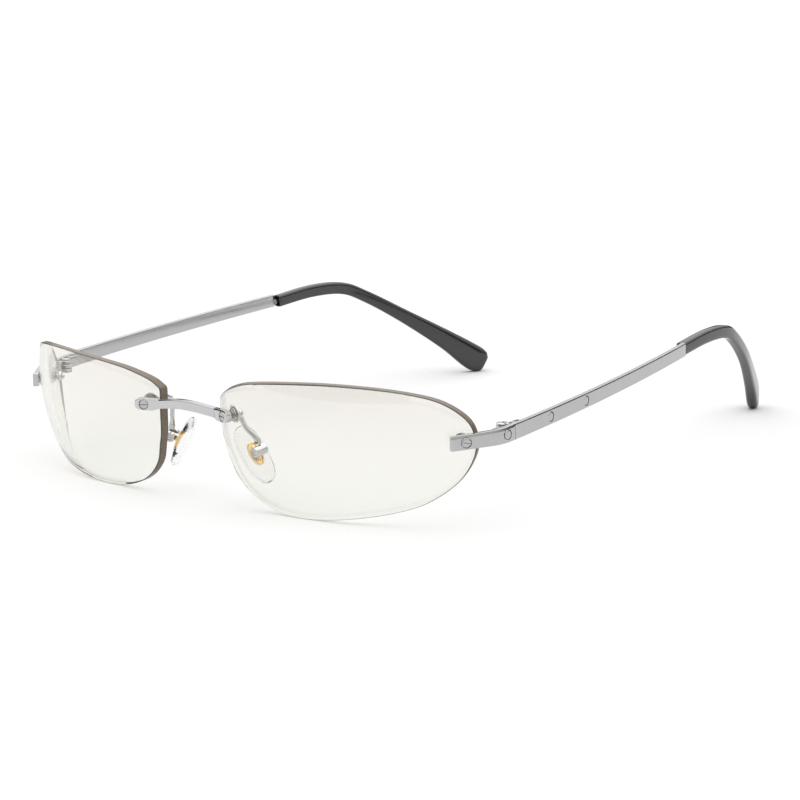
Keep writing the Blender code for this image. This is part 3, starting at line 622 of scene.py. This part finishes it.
def metal(name, light, dark, clean, smudged, stretch, brush_depth, along_length):
    """A metal with brushed lines, smudges and brighter worn edges."""
    made, tree, shader, spot = finish(name, Metallic=1.0)
    where = spot["UV"] if along_length else spot["Object"]
    lines = use(tree, BRUSHED, Vector=where, Stretch=stretch)
    touch = use(tree, SMUDGES, Vector=spot["Object"], Scale=260.0, Clean=clean, Smudged=smudged)
    worn = use(tree, WEAR, Vector=spot["Object"], Scale=1400.0)["Mask"]
    colour = blend(tree, lines["Height"], dark, light)
    colour = blend(tree, maths(tree, "MULTIPLY", worn, 0.6), colour,
                   tuple(min(1.0, c * 1.18) for c in light))
    tree.links.new(colour, shader.inputs["Base Color"])
    rough = maths(tree, "ADD", touch["Value"], maths(tree, "MULTIPLY", lines["Mask"], 0.05))
    tree.links.new(rough, shader.inputs["Roughness"])
    relief(tree, shader, lines["Height"], 0.12, brush_depth)
    return made


def make_lens_glass():
    made, tree, shader, spot = finish("pale_gradient_lens", Metallic=0.0, IOR=1.5,
                                      Transmission_Weight=1.0)
    height = node(tree, "ShaderNodeSeparateXYZ", Vector=spot["Object"]).outputs["Z"]
    drift = node(tree, "ShaderNodeTexNoise", Vector=spot["Object"], Scale=60.0, Detail=1.0)
    level = maths(tree, "ADD", height, maths(tree, "MULTIPLY", drift.outputs["Fac"], 0.003))
    share = span(tree, level, 0.003, 0.030, 0.0, 1.0)
    tint = blend(tree, share, (0.90, 0.905, 0.865), (0.85, 0.825, 0.775))
    dust = use(tree, SPECKS, Vector=spot["Object"], Scale=420.0, Size=0.035)["Mask"]
    tree.links.new(blend(tree, maths(tree, "MULTIPLY", dust, 0.25), tint, (0.80, 0.79, 0.77)),
                   shader.inputs["Base Color"])
    touch = use(tree, SMUDGES, Vector=spot["Object"], Scale=90.0, Clean=0.0, Smudged=0.012)
    tree.links.new(maths(tree, "ADD", touch["Value"], maths(tree, "MULTIPLY", dust, 0.15)),
                   shader.inputs["Roughness"])
    let_lamps_through(tree, shader, (0.93, 0.93, 0.91))
    return made


def make_lens_rim(name, dark, light):
    made, tree, shader, spot = finish(name, Metallic=0.0, IOR=1.5)
    lines = use(tree, BRUSHED, Vector=spot["Object"], Stretch=(900.0, 900.0, 900.0))
    colour = blend(tree, lines["Height"], dark, light)
    tree.links.new(colour, shader.inputs["Base Color"])
    touch = use(tree, SMUDGES, Vector=spot["Object"], Scale=500.0, Clean=0.22, Smudged=0.36)
    tree.links.new(touch["Value"], shader.inputs["Roughness"])
    relief(tree, shader, lines["Height"], 0.2, 0.02)
    let_lamps_through(tree, shader, (0.62, 0.58, 0.54))
    return made


def make_clear(name, colour, dark, rough, ior, lamp, through):
    made, tree, shader, spot = finish(name, Metallic=0.0, IOR=ior, Transmission_Weight=through)
    cloud = use(tree, SMUDGES, Vector=spot["Object"], Scale=380.0, Clean=rough[0],
                Smudged=rough[1])
    tree.links.new(blend(tree, cloud["Mask"], colour, dark), shader.inputs["Base Color"])
    tree.links.new(cloud["Value"], shader.inputs["Roughness"])
    grain = use(tree, BRUSHED, Vector=spot["Object"], Stretch=(1800.0, 1800.0, 1800.0))
    relief(tree, shader, grain["Height"], 0.12, 0.02)
    let_lamps_through(tree, shader, lamp)
    return made


def make_acetate():
    made, tree, shader, spot = finish("gloss_black_acetate", Metallic=0.0, IOR=1.62)
    cloud = node(tree, "ShaderNodeTexNoise", Vector=spot["Object"], Scale=150.0, Detail=3.0)
    dust = use(tree, SPECKS, Vector=spot["Object"], Scale=900.0, Size=0.07)["Mask"]
    colour = blend(tree, cloud.outputs["Fac"], (0.010, 0.010, 0.011), (0.022, 0.022, 0.024))
    tree.links.new(blend(tree, maths(tree, "MULTIPLY", dust, 0.3), colour, (0.12, 0.12, 0.12)),
                   shader.inputs["Base Color"])
    touch = use(tree, SMUDGES, Vector=spot["Object"], Scale=130.0, Clean=0.07, Smudged=0.19)
    tree.links.new(touch["Value"], shader.inputs["Roughness"])
    lines = use(tree, BRUSHED, Vector=spot["UV"], Stretch=(0.35, 9.0, 1.0))
    relief(tree, shader, lines["Height"], 0.1, 0.02)
    return made


POLISHED = metal("polished_chrome", (0.58, 0.58, 0.585), (0.51, 0.51, 0.515), 0.08, 0.16,
                 (2500.0, 2500.0, 2500.0), 0.008, False)
SATIN = metal("satin_strip_steel", (0.48, 0.48, 0.48), (0.43, 0.43, 0.43), 0.16, 0.22,
              (0.5, 14.0, 1.0), 0.012, True)
GOLD = metal("gilt_insert", (0.86, 0.62, 0.26), (0.66, 0.42, 0.15), 0.16, 0.30,
             (2200.0, 2200.0, 2200.0), 0.01, False)
LENS_GLASS = make_lens_glass()
LENS_RIM = make_lens_rim("ground_lens_edge", (0.11, 0.082, 0.056), (0.17, 0.135, 0.10))
# The front bevel's near-black colour is painted shade. It draws the dark edge line that clear glass
# shows through refraction and reflection.
LENS_PAINTED_DARK_EDGE = make_lens_rim("lens_corner_painted_dark_line", (0.05, 0.048, 0.045), (0.08, 0.077, 0.072))
SILICONE = make_clear("clear_silicone_pad", (0.95, 0.95, 0.95), (0.90, 0.90, 0.895), (0.04, 0.12),
                      1.28, (0.93, 0.93, 0.93), 1.0)
NYLON = make_clear("clear_nylon_washer", (0.90, 0.90, 0.88), (0.80, 0.80, 0.77), (0.18, 0.32),
                   1.50, (0.85, 0.85, 0.84), 0.9)
ACETATE = make_acetate()


# ---------------------------------------------------------------- pieces

def threads(radius, start, end, pitch=0.28, depth=0.07):
    """Profile points of a screw thread between two heights."""
    points = []
    count = max(int(abs(end - start) / pitch), 1)
    for i in range(count):
        at = start + (end - start) * i / count
        step = (end - start) / count
        points += [(radius - depth, at + step * 0.1), (radius, at + step * 0.45),
                   (radius, at + step * 0.6)]
    return points


def slotted_screw(name, side, point, axis, radius, depth, shank, length, crown=0.03, plain=0.0,
                  slot=(0.16, 0.2), upright=UP):
    """A screw with its head's top at the point and its shank along the axis."""
    outwards = -Vector(axis)
    profile = [(0.0, crown), (radius * 0.5, crown * 0.75), (radius * 0.8, crown * 0.2),
               (radius - 0.08, -0.03), (radius - 0.02, -0.08), (radius, -0.14),
               (radius, -depth + 0.04), (radius - 0.05, -depth), (shank + 0.05, -depth),
               (shank, -depth - 0.05)]
    start = -depth - 0.1 - plain
    if plain:
        profile.append((shank, start))
    profile += threads(shank, start, -length + 0.2)
    profile += [(shank - 0.1, -length + 0.1), (shank - 0.2, -length), (0.0, -length)]
    obj = turned(name, side, point, outwards, profile, 40, upright=upright)
    wide = radius + 0.3
    cutter = block(f"{name}_cut", side, point, outwards, (-wide, -slot[0], -slot[1]),
                   (wide, slot[0], 0.4), upright)
    return carve(obj, cutter)


def make_lens(hand, side):
    across, up, forward = lens_axes()
    outline = spline(LENS_OUTLINE, 8, closed=True)
    count = len(outline)
    normals = []
    for i in range(count):
        (x0, y0), (x1, y1) = outline[i - 1], outline[(i + 1) % count]
        size = hypot(x1 - x0, y1 - y0)
        normals.append((-(y1 - y0) / size, (x1 - x0) / size))
    # The outline runs from the nasal side down and round, so its left is the inside.

    def inset(distance):
        return [(x + nx * distance, y + ny * distance)
                for (x, y), (nx, ny) in zip(outline, normals)]

    def drop(radius, u, v):
        return sqrt(radius**2 - u * u - v * v) - LENS_RADIUS

    def layer(plan, radius, shift=0.0):
        return [LENS_VERTEX + across * u + up * v + forward * (drop(radius, u, v) + shift)
                for u, v in plan]

    back_radius = LENS_RADIUS - LENS_THICKNESS
    middle = (0.0, -0.3)

    def shrunk(bevel, share):
        return [(middle[0] + (u - middle[0]) * share, middle[1] + (v - middle[1]) * share)
                for u, v in inset(bevel)]

    shares = [1.0 - k / LENS_RINGS for k in range(LENS_RINGS)]
    layers = [layer([middle], LENS_RADIUS)]
    layers += [layer(shrunk(FRONT_BEVEL, share), LENS_RADIUS) for share in shares[::-1]]
    layers += [layer(outline, LENS_RADIUS, -FRONT_BEVEL), layer(outline, back_radius, BACK_BEVEL)]
    layers += [layer(shrunk(BACK_BEVEL, share), back_radius) for share in shares]
    layers.append(layer([middle], back_radius))
    # Glass on the front, the corner (opaque near black: a painted dark edge line), the ground edge,
    # then glass on the back bevel and the back.
    slots = [0] * LENS_RINGS + [2, 1] + [0] * (LENS_RINGS + 1)
    lens = piece(f"{hand}_lens_glass", side, layers, (False, False), slots)
    for made in (LENS_GLASS, LENS_RIM, LENS_PAINTED_DARK_EDGE):
        lens.data.materials.append(made)
    point, axis = bridge_screw()
    drills = [cylinder("nasal_drill", side, point - axis * 2.0, axis, SCREW_HOLE + HOLE_GAP, 8.0)]
    point, axis = endpiece_screw()
    drills.append(cylinder("outer_drill", side, point, axis, SCREW_HOLE + HOLE_GAP, 8.0))
    for drill in drills:
        drill.data.materials.append(LENS_RIM)
    carve(lens, *drills)
    dress(lens, "front", (LENS_GLASS, LENS_RIM, LENS_PAINTED_DARK_EDGE), (f"{hand}_lens",))


def make_bridge():
    screw, into = bridge_screw()
    lift = BRIDGE_THICKNESS + GAP
    along = Vector((into.y, -into.x, 0.0)).normalized()
    # Reach past the screw and height there. The pad's end is rounded, its flanks run level past
    # the screw, and a short step leads to the bar.
    plan = [(2.1, 0.9), (2.04, 1.36), (1.9, 1.8), (1.66, 2.16), (1.3, 2.46), (0.8, 2.64),
            (0.0, BRIDGE_PAD_HEIGHT), (-1.2, BRIDGE_PAD_HEIGHT - 0.02),
            (-2.1, BRIDGE_PAD_HEIGHT - 0.1), (-2.7, 2.42), (-3.2, 2.2), (-3.6, BRIDGE_BAR_HEIGHT)]
    left = []
    for reach, height in plan:
        point = screw + along * reach - into * lift
        bulge = BRIDGE_ARCH * BRIDGE_STEP * min(max((-reach - 2.2) / 1.4, 0.0), 1.0)
        left.append((point.x, point.y, BRIDGE_SCREW_Z + bulge, height))
    x, y = left[-1][:2]
    for share in (0.2, 0.4, 0.6, 0.8, 1.0):
        rise = sin(share * pi / 2)
        left.append((x * (1 - share), y - rise,
                     BRIDGE_SCREW_Z + BRIDGE_ARCH * (BRIDGE_STEP + (1 - BRIDGE_STEP) * rise),
                     BRIDGE_BAR_HEIGHT))
    whole = [(-x, y, z, height) for x, y, z, height in left] + left[-2::-1]
    bridge = bar("bridge_bar", 1, spline(whole, 4), BRIDGE_THICKNESS, 0.16, (0.09, 0.34))
    face = screw - into * lift
    carve(bridge, *(step_drill(f"drill_{side}", side, face, into, SCREW_HEAD[0] + HOLE_GAP * 0.6,
                               COUNTERBORE, SCREW_HOLE + HOLE_GAP, 3.0) for side in (1, -1)))
    dress(bridge, "front", POLISHED, ("bridge",))


def lens_bolt(name, side, face, axis, length, plain, stands_for):
    """A screw through the lens, its head a little proud of the metal's face."""
    bolt = slotted_screw(name, side, face - axis * SCREW_PROUD, axis, *SCREW_HEAD, SCREW_SHANK,
                         length, crown=0.0, plain=plain, slot=SCREW_SLOT, upright=SCREW_UPRIGHT)
    dress(bolt, "front", SATIN, (stands_for,))


def seal(name, side, point, axis, radius, thickness, stands_for):
    """A clear nylon washer round a lens screw."""
    washer = ring(name, side, point, axis, SCREW_HOLE + HOLE_GAP, radius, thickness)
    dress(washer, "front", NYLON, (stands_for,))


def make_bridge_mount(hand, side):
    point, axis = bridge_screw()
    face = point - axis * (BRIDGE_THICKNESS + GAP)
    length = BRIDGE_THICKNESS + LENS_THICKNESS + BRIDGE_SCREW_BEHIND
    lens_bolt(f"{hand}_bridge_bolt", side, face, axis, length, 2.6, f"{hand}_bridge_screw")
    behind = LENS_THICKNESS + LENS_BACK_GAP
    seal(f"{hand}_bridge_seal", side, point + axis * behind, axis, BRIDGE_SEAL_RADIUS,
         SEAL_THICKNESS, f"{hand}_bridge_washer")
    behind += SEAL_THICKNESS + GAP + EYELET_THICKNESS + GAP
    lock_nut(f"{hand}_bridge_locknut", side, point + axis * behind, axis, BRIDGE_NUT_DEPTH,
             f"{hand}_bridge_nut")


def lock_nut(name, side, point, axis, depth, stands_for):
    """A round nut with a rounded outer rim and two spanner notches."""
    radius = NUT_RADIUS
    inner = SCREW_HOLE + HOLE_GAP * 0.4
    profile = [(inner + 0.06, 0.0), (radius - 0.05, 0.0), (radius, 0.05), (radius, depth * 0.62),
               (radius - 0.08, depth * 0.82), (radius - 0.26, depth - 0.02),
               (radius - 0.36, depth), (inner + 0.08, depth), (inner, depth - 0.08), (inner, 0.06)]
    nut = turned(name, side, point, axis, profile, 40, closed=True)
    notch = block(f"{name}_notch", side, Vector(point) + Vector(axis) * depth, axis,
                  (-radius - 0.3, -0.17, -0.28), (radius + 0.3, 0.17, 0.4), (0.4, 0.0, 1.0))
    carve(nut, notch)
    dress(nut, "front", POLISHED, (stands_for,))


def make_pad_arm(hand, side):
    point, axis = bridge_screw()
    start = point + axis * (LENS_THICKNESS + LENS_BACK_GAP + SEAL_THICKNESS + GAP)
    eyelet = ring(f"{hand}_pad_arm_wire", side, start, axis, SCREW_HOLE + HOLE_GAP, EYELET_RADIUS,
                  EYELET_THICKNESS, 0.1, 48)
    face, up, _ = pad_axes()
    box_top = pad_pivot() + up * (BOX_RADIUS + 0.02) - face * 0.5
    root = start + axis * EYELET_THICKNESS / 2
    along = Vector((-axis.y, axis.x, 0.0)).normalized()
    a = root + along * 1.3 + Vector((0, 0, 0.1))
    b = root + along * 2.3 + Vector((0, 0.7, 0.7))
    route = [(*a, 0.45, 0.25), (*b, 0.45, 0.30), *PAD_ARM_ROUTE,
             (*(box_top + Vector((-0.25, 0.0, 1.3))), 0.76, 0.32), (*box_top, 0.88, 0.34)]
    ribbon = piece("ribbon", side, [
        oval_ring(half, PAD_ARM_SQUARENESS, 24, *frame_now, 0.0)
        for *frame_now, half in sweep_frames(spline(route, 10), BACKWARDS)])
    carve(eyelet, ribbon, operation="UNION")
    dress(eyelet, "front", POLISHED, (f"{hand}_pad_arm",))


def make_pad_box(hand, side):
    face, up, pivot_axis = pad_axes()
    pivot = pad_pivot()
    start = pivot - pivot_axis * BOX_LENGTH / 2
    profile = [(BOX_RADIUS - 0.32, 0.0), (BOX_RADIUS - 0.14, 0.03), (BOX_RADIUS - 0.04, 0.12),
               (BOX_RADIUS, 0.26), (BOX_RADIUS, BOX_LENGTH - 0.26),
               (BOX_RADIUS - 0.04, BOX_LENGTH - 0.12), (BOX_RADIUS - 0.14, BOX_LENGTH - 0.03),
               (BOX_RADIUS - 0.32, BOX_LENGTH)]
    barrel = turned(f"{hand}_pad_box_barrel", side, start, pivot_axis, profile, 48, upright=up)
    half = TAB_THICKNESS / 2 + HOLE_GAP
    reach = TAB_RADIUS + HOLE_GAP
    clear = BOX_LENGTH  # far enough to pass right through the barrel
    carve(barrel,
          block("slot", side, pivot, face, (-half, -reach, -reach), (half, 2.5, BOX_RADIUS + 1.0),
                up),
          block("low_slot", side, pivot, face, (-half, -2.5, -0.2), (half, 0.0, 2.5), up),
          cylinder("bore", side, pivot - pivot_axis * clear, pivot_axis, PAD_PIN_RADIUS + HOLE_GAP,
                   2 * clear),
          cylinder("sink", side, pivot - pivot_axis * (BOX_LENGTH / 2 + 0.5), pivot_axis, 0.75,
                   0.66))
    dress(barrel, "front", POLISHED, (f"{hand}_pad_box",))
    bolt = slotted_screw(f"{hand}_pad_box_pin", side,
                         pivot - pivot_axis * (BOX_LENGTH / 2 - 0.02), pivot_axis, *PAD_PIN_HEAD,
                         PAD_PIN_RADIUS - 0.01, BOX_LENGTH - 0.05, crown=0.01, plain=1.0,
                         slot=(0.09, 0.1), upright=up)
    dress(bolt, "front", POLISHED, (f"{hand}_pad_screw",))


def make_pad(hand, side):
    face, up, pivot_axis = pad_axes()
    body = f"{hand}_pad"
    x = up.cross(face).normalized()
    skin = ((0.15, 1.25), (0.40, 1.22), (0.60, 1.15), (0.76, 1.02), (0.88, 0.80), (0.955, 0.5),
            (0.99, 0.15), (1.0, -0.15), (0.985, -0.42), (0.94, -0.68), (0.87, -0.86), (0.78, -0.97),
            (0.68, -1.02))
    steps = 64
    layers = [[PAD_CENTRE + face * 1.3]]
    for share, depth in skin:
        half = (PAD_HALF[0] * share, PAD_HALF[1] * share)
        layers.append(oval_ring(half, PAD_SQUARENESS, steps, PAD_CENTRE, x, up, face, depth))
    for half, depth in (((1.60, 2.95), -1.0), ((1.52, 2.87), -0.92), ((1.50, 2.85), -0.4),
                        ((1.42, 2.77), -0.3), ((0.7, 1.4), -0.3)):
        layers.append(oval_ring(half, 2.0, steps, PAD_CENTRE, x, up, face, depth))
    layers.append([PAD_CENTRE - face * 0.3])
    pad = piece(f"{hand}_nose_pad_silicone", side, layers, (False, False))
    dress(pad, body, SILICONE, (f"{hand}_nose_pad",))

    layers = [[PAD_CENTRE - face * 0.42]]
    for half, depth in (((0.9, 2.1), -0.42), ((1.26, 2.58), -0.42), ((1.36, 2.68), -0.5),
                        ((1.38, 2.70), -0.95), ((1.32, 2.64), -1.08), ((1.17, 2.48), -1.14),
                        ((0.98, 2.28), -1.10), ((0.90, 2.20), -1.0), ((0.87, 2.15), -0.86),
                        ((0.78, 2.0), -0.84), ((0.74, 1.85), -0.86), ((0.68, 1.7), -1.16),
                        ((0.58, 1.55), -1.22), ((0.25, 1.0), -1.23)):
        layers.append(oval_ring(half, 2.0, steps, PAD_CENTRE, x, up, face, depth))
    layers.append([PAD_CENTRE - face * 1.23])
    insert = piece(f"{hand}_nose_pad_insert", side, layers, (False, False))
    dress(insert, body, GOLD, (f"{hand}_pad_core",))

    half = TAB_THICKNESS / 2
    tab = block(f"{hand}_nose_pad_tab", side, PAD_CENTRE, face, (-half, -TAB_RADIUS, -PAD_TO_BOX),
                (half, TAB_RADIUS, -1.27), up, 0.08)
    end = cylinder("tab_end", side, pad_pivot() - pivot_axis * half, pivot_axis, TAB_RADIUS,
                   TAB_THICKNESS, 0.08, 32, up)
    carve(tab, end, operation="UNION")
    carve(tab, cylinder("tab_bore", side, pad_pivot() - pivot_axis * 2.0, pivot_axis, 0.4, 4.0))
    dress(tab, body, POLISHED)


def knuckle(side, level):
    low, high = KNUCKLES_Z[level]
    return cylinder(f"{level}_knuckle", side, (HINGE_X, HINGE_Y, low), UP, KNUCKLE_RADIUS,
                    high - low, 0.12, 48)


def hinge_bore(side):
    return cylinder("hinge_bore", side, (HINGE_X, HINGE_Y, HINGE_BORE_FROM), UP, KNUCKLE_HOLE,
                    HINGE_BORE_LENGTH)


def hinge_block(name, side, low, high):
    """A block with softened edges by the hinge, between two corners."""
    return block(name, side, (0, 0, 0), UP, low, high, BACKWARDS, 0.12)


def stud_pocket(side, point, axis):
    """The cutter for a stud's pocket, from above the strip's outer face."""
    return cylinder("pocket", side, point - axis, axis, STUD_RADIUS + HOLE_GAP * 0.7,
                    1.0 + STUD_LENGTH)


def stud(name, side, point, axis, body, stands_for):
    """A plain round pin in its pocket, about level with the strip's outer face."""
    outwards = -axis
    length = STUD_LENGTH - HOLE_GAP
    profile = [(0.0, 0.0), (0.6, -0.003), (0.86, -0.02), (0.95, -0.06), (STUD_RADIUS, -0.13),
               (STUD_RADIUS, -length), (0.0, -length)]
    made = turned(name, side, point, outwards, profile)
    dress(made, body, SATIN, (stands_for,))


def make_endpiece(hand, side):
    stations = endpiece_stations()
    strip = bar(f"{hand}_endpiece_strip", side, stations, ENDPIECE_THICKNESS, 0.10,
                (0.11, 0.55), (0.1, 0.05))
    inner = OUTER_X - ENDPIECE_THICKNESS / 2
    joined = []
    for level in ("bottom", "top"):
        low, high = KNUCKLES_Z[level]
        joined.append(knuckle(side, level))
        joined.append(hinge_block(f"{level}_web", side, (HINGE_X, HINGE_Y - 2.5, low + 0.03),
                                  (inner, HINGE_Y - 0.1, high - 0.03)))
    low, high = KNUCKLES_Z["bottom"][0] + 0.06, KNUCKLES_Z["top"][1] - 0.06
    joined.append(hinge_block("front_leaf", side, (HINGE_X + 0.1, HINGE_Y - 3.6, low),
                              (inner - 0.1, HINGE_Y - 1.65, high)))
    carve(strip, *joined, operation="UNION")
    point, axis = endpiece_screw()
    stud_point, stud_axis = Vector((OUTER_X, ENDPIECE_STUD_Y, ENDPIECE_STUD_Z)), Vector((-1, 0, 0))
    carve(strip, hinge_bore(side),
          step_drill("drill", side, point, axis, SCREW_HEAD[0] + HOLE_GAP * 0.7, COUNTERBORE,
                     SCREW_HOLE + HOLE_GAP, 3.0),
          stud_pocket(side, stud_point, stud_axis))
    dress(strip, "front", SATIN, (f"{hand}_endpiece",))
    stud(f"{hand}_endpiece_pin", side, stud_point - stud_axis * ENDPIECE_STUD_PROUD, stud_axis,
         "front", f"{hand}_endpiece_stud")


def make_endpiece_mount(hand, side):
    point, axis = endpiece_screw()
    length = ENDPIECE_THICKNESS + LENS_THICKNESS + ENDPIECE_SCREW_BEHIND
    lens_bolt(f"{hand}_endpiece_bolt", side, point, axis, length, 3.2, f"{hand}_endpiece_screw")
    behind = ENDPIECE_THICKNESS + GAP
    seal(f"{hand}_endpiece_bushing", side, point + axis * behind, axis, ENDPIECE_SEAL_RADIUS,
         SPACER_THICKNESS, f"{hand}_endpiece_spacer")
    behind += SPACER_THICKNESS + LENS_THICKNESS + 2 * GAP + LENS_BACK_GAP
    seal(f"{hand}_endpiece_seal", side, point + axis * behind, axis, ENDPIECE_SEAL_RADIUS,
         SEAL_THICKNESS, f"{hand}_endpiece_washer")
    behind += SEAL_THICKNESS + GAP
    lock_nut(f"{hand}_endpiece_locknut", side, point + axis * behind, axis, ENDPIECE_NUT_DEPTH,
             f"{hand}_endpiece_nut")


def make_hinge_bolt(hand, side):
    length = HINGE_HEAD_Z[1] - KNUCKLES_Z["bottom"][0] - 0.1
    bolt = slotted_screw(f"{hand}_hinge_bolt", side, (HINGE_X, HINGE_Y, HINGE_HEAD_Z[1] - 0.03),
                         (0, 0, -1), HINGE_HEAD_RADIUS, HINGE_HEAD_Z[1] - HINGE_HEAD_Z[0] - 0.03,
                         HINGE_PIN, length, plain=2.6, slot=(0.18, 0.22), upright=(0.5, 1.0, 0.0))
    dress(bolt, "front", POLISHED, (f"{hand}_hinge_screw",))


def make_temple(hand, side):
    body = f"{hand}_temple_arm"
    stations = []
    count = 30
    start = SPLIT_Y + GAP / 2
    for step in range(count + 1):
        share = step / count
        y = start + (TEMPLE_END_Y - start) * share
        stations.append((temple_x(y), y, temple_z(y),
                         STRIP_SPLIT_HEIGHT + share * (STRIP_END_HEIGHT - STRIP_SPLIT_HEIGHT)))
    strip = bar(f"{hand}_temple_strip", side, stations, TEMPLE_THICKNESS, 0.12, (0.055, 0.30),
                (0.05, 0.08))
    low, high = KNUCKLES_Z["middle"]
    inner = OUTER_X - TEMPLE_THICKNESS / 2
    carve(strip,
          knuckle(side, "middle"),
          hinge_block("middle_web", side, (HINGE_X + 0.3, HINGE_Y + 0.1, low + 0.03),
                      (HINGE_X + KNUCKLE_RADIUS, HINGE_Y + 3.0, high - 0.03)),
          hinge_block("rear_leaf", side, (HINGE_X + 0.3, HINGE_Y + 1.7, low - 0.05),
                      (inner, HINGE_Y + 4.4, STRIP_SPLIT_Z + 1.62)), operation="UNION")
    tools = [hinge_bore(side)]
    for where, y in TEMPLE_STUDS_Y.items():
        lean = (y - SPLIT_Y) / TEMPLE_BOW
        axis = Vector((-cos(lean), -sin(lean), 0.0))
        point = Vector((temple_x(y), y, temple_z(y)))
        tools.append(stud_pocket(side, point, axis))
        stud(f"{hand}_temple_pin_{where}", side, point + axis * TEMPLE_STUD_SUNK, axis, body,
             f"{hand}_temple_stud_{where}")
    carve(strip, *tools)
    dress(strip, body, SATIN, (f"{hand}_temple",))

    route = [station[:3] for station in TIP_ROUTE[:CORE_POINTS]]
    route[0] = tuple(Vector(route[0]) + CORE_START)
    wire = piece(f"{hand}_temple_core_wire", side, [
        oval_ring((CORE_RADIUS, CORE_RADIUS), 2, 20, *frame_now, 0.0)
        for *frame_now, _ in sweep_frames(spline(route, 8), UP)])
    dress(wire, body, SATIN)


def make_sleeve(hand, side):
    """The moulded tip: rounded oval in section, flattened on its outer and inner sides."""
    steps = 48
    frames = sweep_frames(spline(TIP_ROUTE, TIP_STEPS), UP)

    def section(frame_now, share=1.0, shift=0.0):
        *place_now, half = frame_now
        return oval_ring([share * size for size in half], TIP_SQUARENESS, steps, *place_now, shift)

    def bore(frame_now, radius, shift=0.0):
        *place_now, _ = frame_now
        return oval_ring((radius, radius), 2, steps, *place_now, shift)

    first, second, last = frames[0], frames[1], frames[-1]
    bore_end = (CORE_POINTS - 1) * TIP_STEPS + 4
    layers = [[last[0] + last[3] * 0.22]]
    layers += [section(last, *ease) for ease in ((0.35, 0.18), (0.68, 0.1), (0.9, 0.02))]
    layers += [section(now) for now in frames[-2:0:-1]]
    layers += [section(first, *ease) for ease in ((1.0, 0.22), (0.975, 0.07), (0.90, 0.0),
                                                  (0.80, 0.02), (0.76, 0.10))]
    layers += [bore(first, CORE_RADIUS + 0.35, 0.5), bore(second, CORE_RADIUS + HOLE_GAP)]
    layers += [bore(now, CORE_RADIUS + HOLE_GAP) for now in frames[2:bore_end]]
    layers.append([frames[bore_end][0]])
    sleeve = piece(f"{hand}_temple_sleeve", side, layers, (False, False))
    dress(sleeve, f"{hand}_temple_arm", ACETATE, (f"{hand}_temple_tip",))


make_bridge()
for hand, side in (("left", 1), ("right", -1)):
    make_lens(hand, side)
    make_bridge_mount(hand, side)
    make_pad_arm(hand, side)
    make_pad_box(hand, side)
    make_pad(hand, side)
    make_endpiece(hand, side)
    make_endpiece_mount(hand, side)
    make_hinge_bolt(hand, side)
    make_temple(hand, side)
    make_sleeve(hand, side)


# ---------------------------------------------------------------- table, light and camera

def make_table():
    data = bpy.data.meshes.new("table")
    reach = 9.0
    corners = [(-reach, -reach, 0), (reach, -reach, 0), (reach, reach, 0), (-reach, reach, 0)]
    data.from_pydata(corners, [], [(0, 1, 2, 3)])
    table = bpy.data.objects.new("table", data)
    bpy.context.scene.collection.objects.link(table)
    table.location.z = -0.00002
    made, tree, shader, spot = finish("pale_paper", Roughness=0.75)
    grain = node(tree, "ShaderNodeTexNoise", Vector=spot["Object"], Scale=700.0, Detail=2.0)
    tree.links.new(blend(tree, grain.outputs["Fac"], (0.59, 0.59, 0.59), (0.61, 0.61, 0.61)),
                   shader.inputs["Base Color"])
    shader.inputs["Specular IOR Level"].default_value = 0.0
    data.materials.append(made)


def make_studio():
    """A bright ceiling, dimmer walls, and white where the room is seen, straight or through glass."""
    world = bpy.data.worlds.new("studio")
    bpy.context.scene.world = world
    world.use_nodes = True
    tree = world.node_tree
    sky = tree.nodes["Background"]
    height = node(tree, "ShaderNodeSeparateXYZ",
                  Vector=tree.nodes.new("ShaderNodeTexCoord").outputs["Generated"]).outputs["Z"]
    ramp = tree.nodes.new("ShaderNodeValToRGB")
    tree.links.new(span(tree, height, 0.0, 1.0, 0.0, 1.0), ramp.inputs["Fac"])
    stops = ((0.0, 0.04), (0.13, 0.05), (0.20, 0.9), (0.45, 1.3), (0.66, 1.9), (1.0, 2.3))
    ramp.color_ramp.interpolation = "EASE"
    marks = ramp.color_ramp.elements
    marks[0].position, marks[1].position = stops[0][0], stops[-1][0]
    for position, level in stops[1:-1]:
        marks.new(position)
    for mark, (position, level) in zip(sorted(marks, key=lambda m: m.position), stops):
        mark.color = (level, level, level, 1.0)
    tree.links.new(ramp.outputs["Color"], sky.inputs["Color"])
    seen = node(tree, "ShaderNodeBackground", Color=(1.0, 1.0, 1.0, 1.0))
    path = tree.nodes.new("ShaderNodeLightPath").outputs
    direct = maths(tree, "MAXIMUM", path["Is Camera Ray"], path["Is Transmission Ray"])
    mix = node(tree, "ShaderNodeMixShader", _0=direct, _1=sky.outputs[0], _2=seen.outputs[0])
    tree.links.new(mix.outputs[0], tree.nodes["World Output"].inputs["Surface"])
    bpy.context.scene.view_settings.view_transform = "Standard"


def make_camera():
    azimuth, elevation, roll = radians(40.19), radians(11.34), radians(-1.22)
    distance = 650.0
    target = Vector((0.0, 69.6, 10.9))
    back = Vector((sin(azimuth) * cos(elevation), -cos(azimuth) * cos(elevation), sin(elevation)))
    right = Vector((cos(azimuth), sin(azimuth), 0.0))
    up = back.cross(right)
    across = right * cos(roll) + up * sin(roll)
    upwards = up * cos(roll) - right * sin(roll)
    data = bpy.data.cameras.new("camera")
    data.sensor_width = 36.0
    data.lens = 125.8
    data.clip_start, data.clip_end = 0.01, 50.0
    camera = bpy.data.objects.new("camera", data)
    bpy.context.scene.collection.objects.link(camera)
    camera.matrix_world = Matrix.Translation(place(1, target + back * distance) * MM) @ Matrix(
        (across, upwards, back)).transposed().to_4x4()
    bpy.context.scene.camera = camera


make_table()
make_studio()
make_camera()
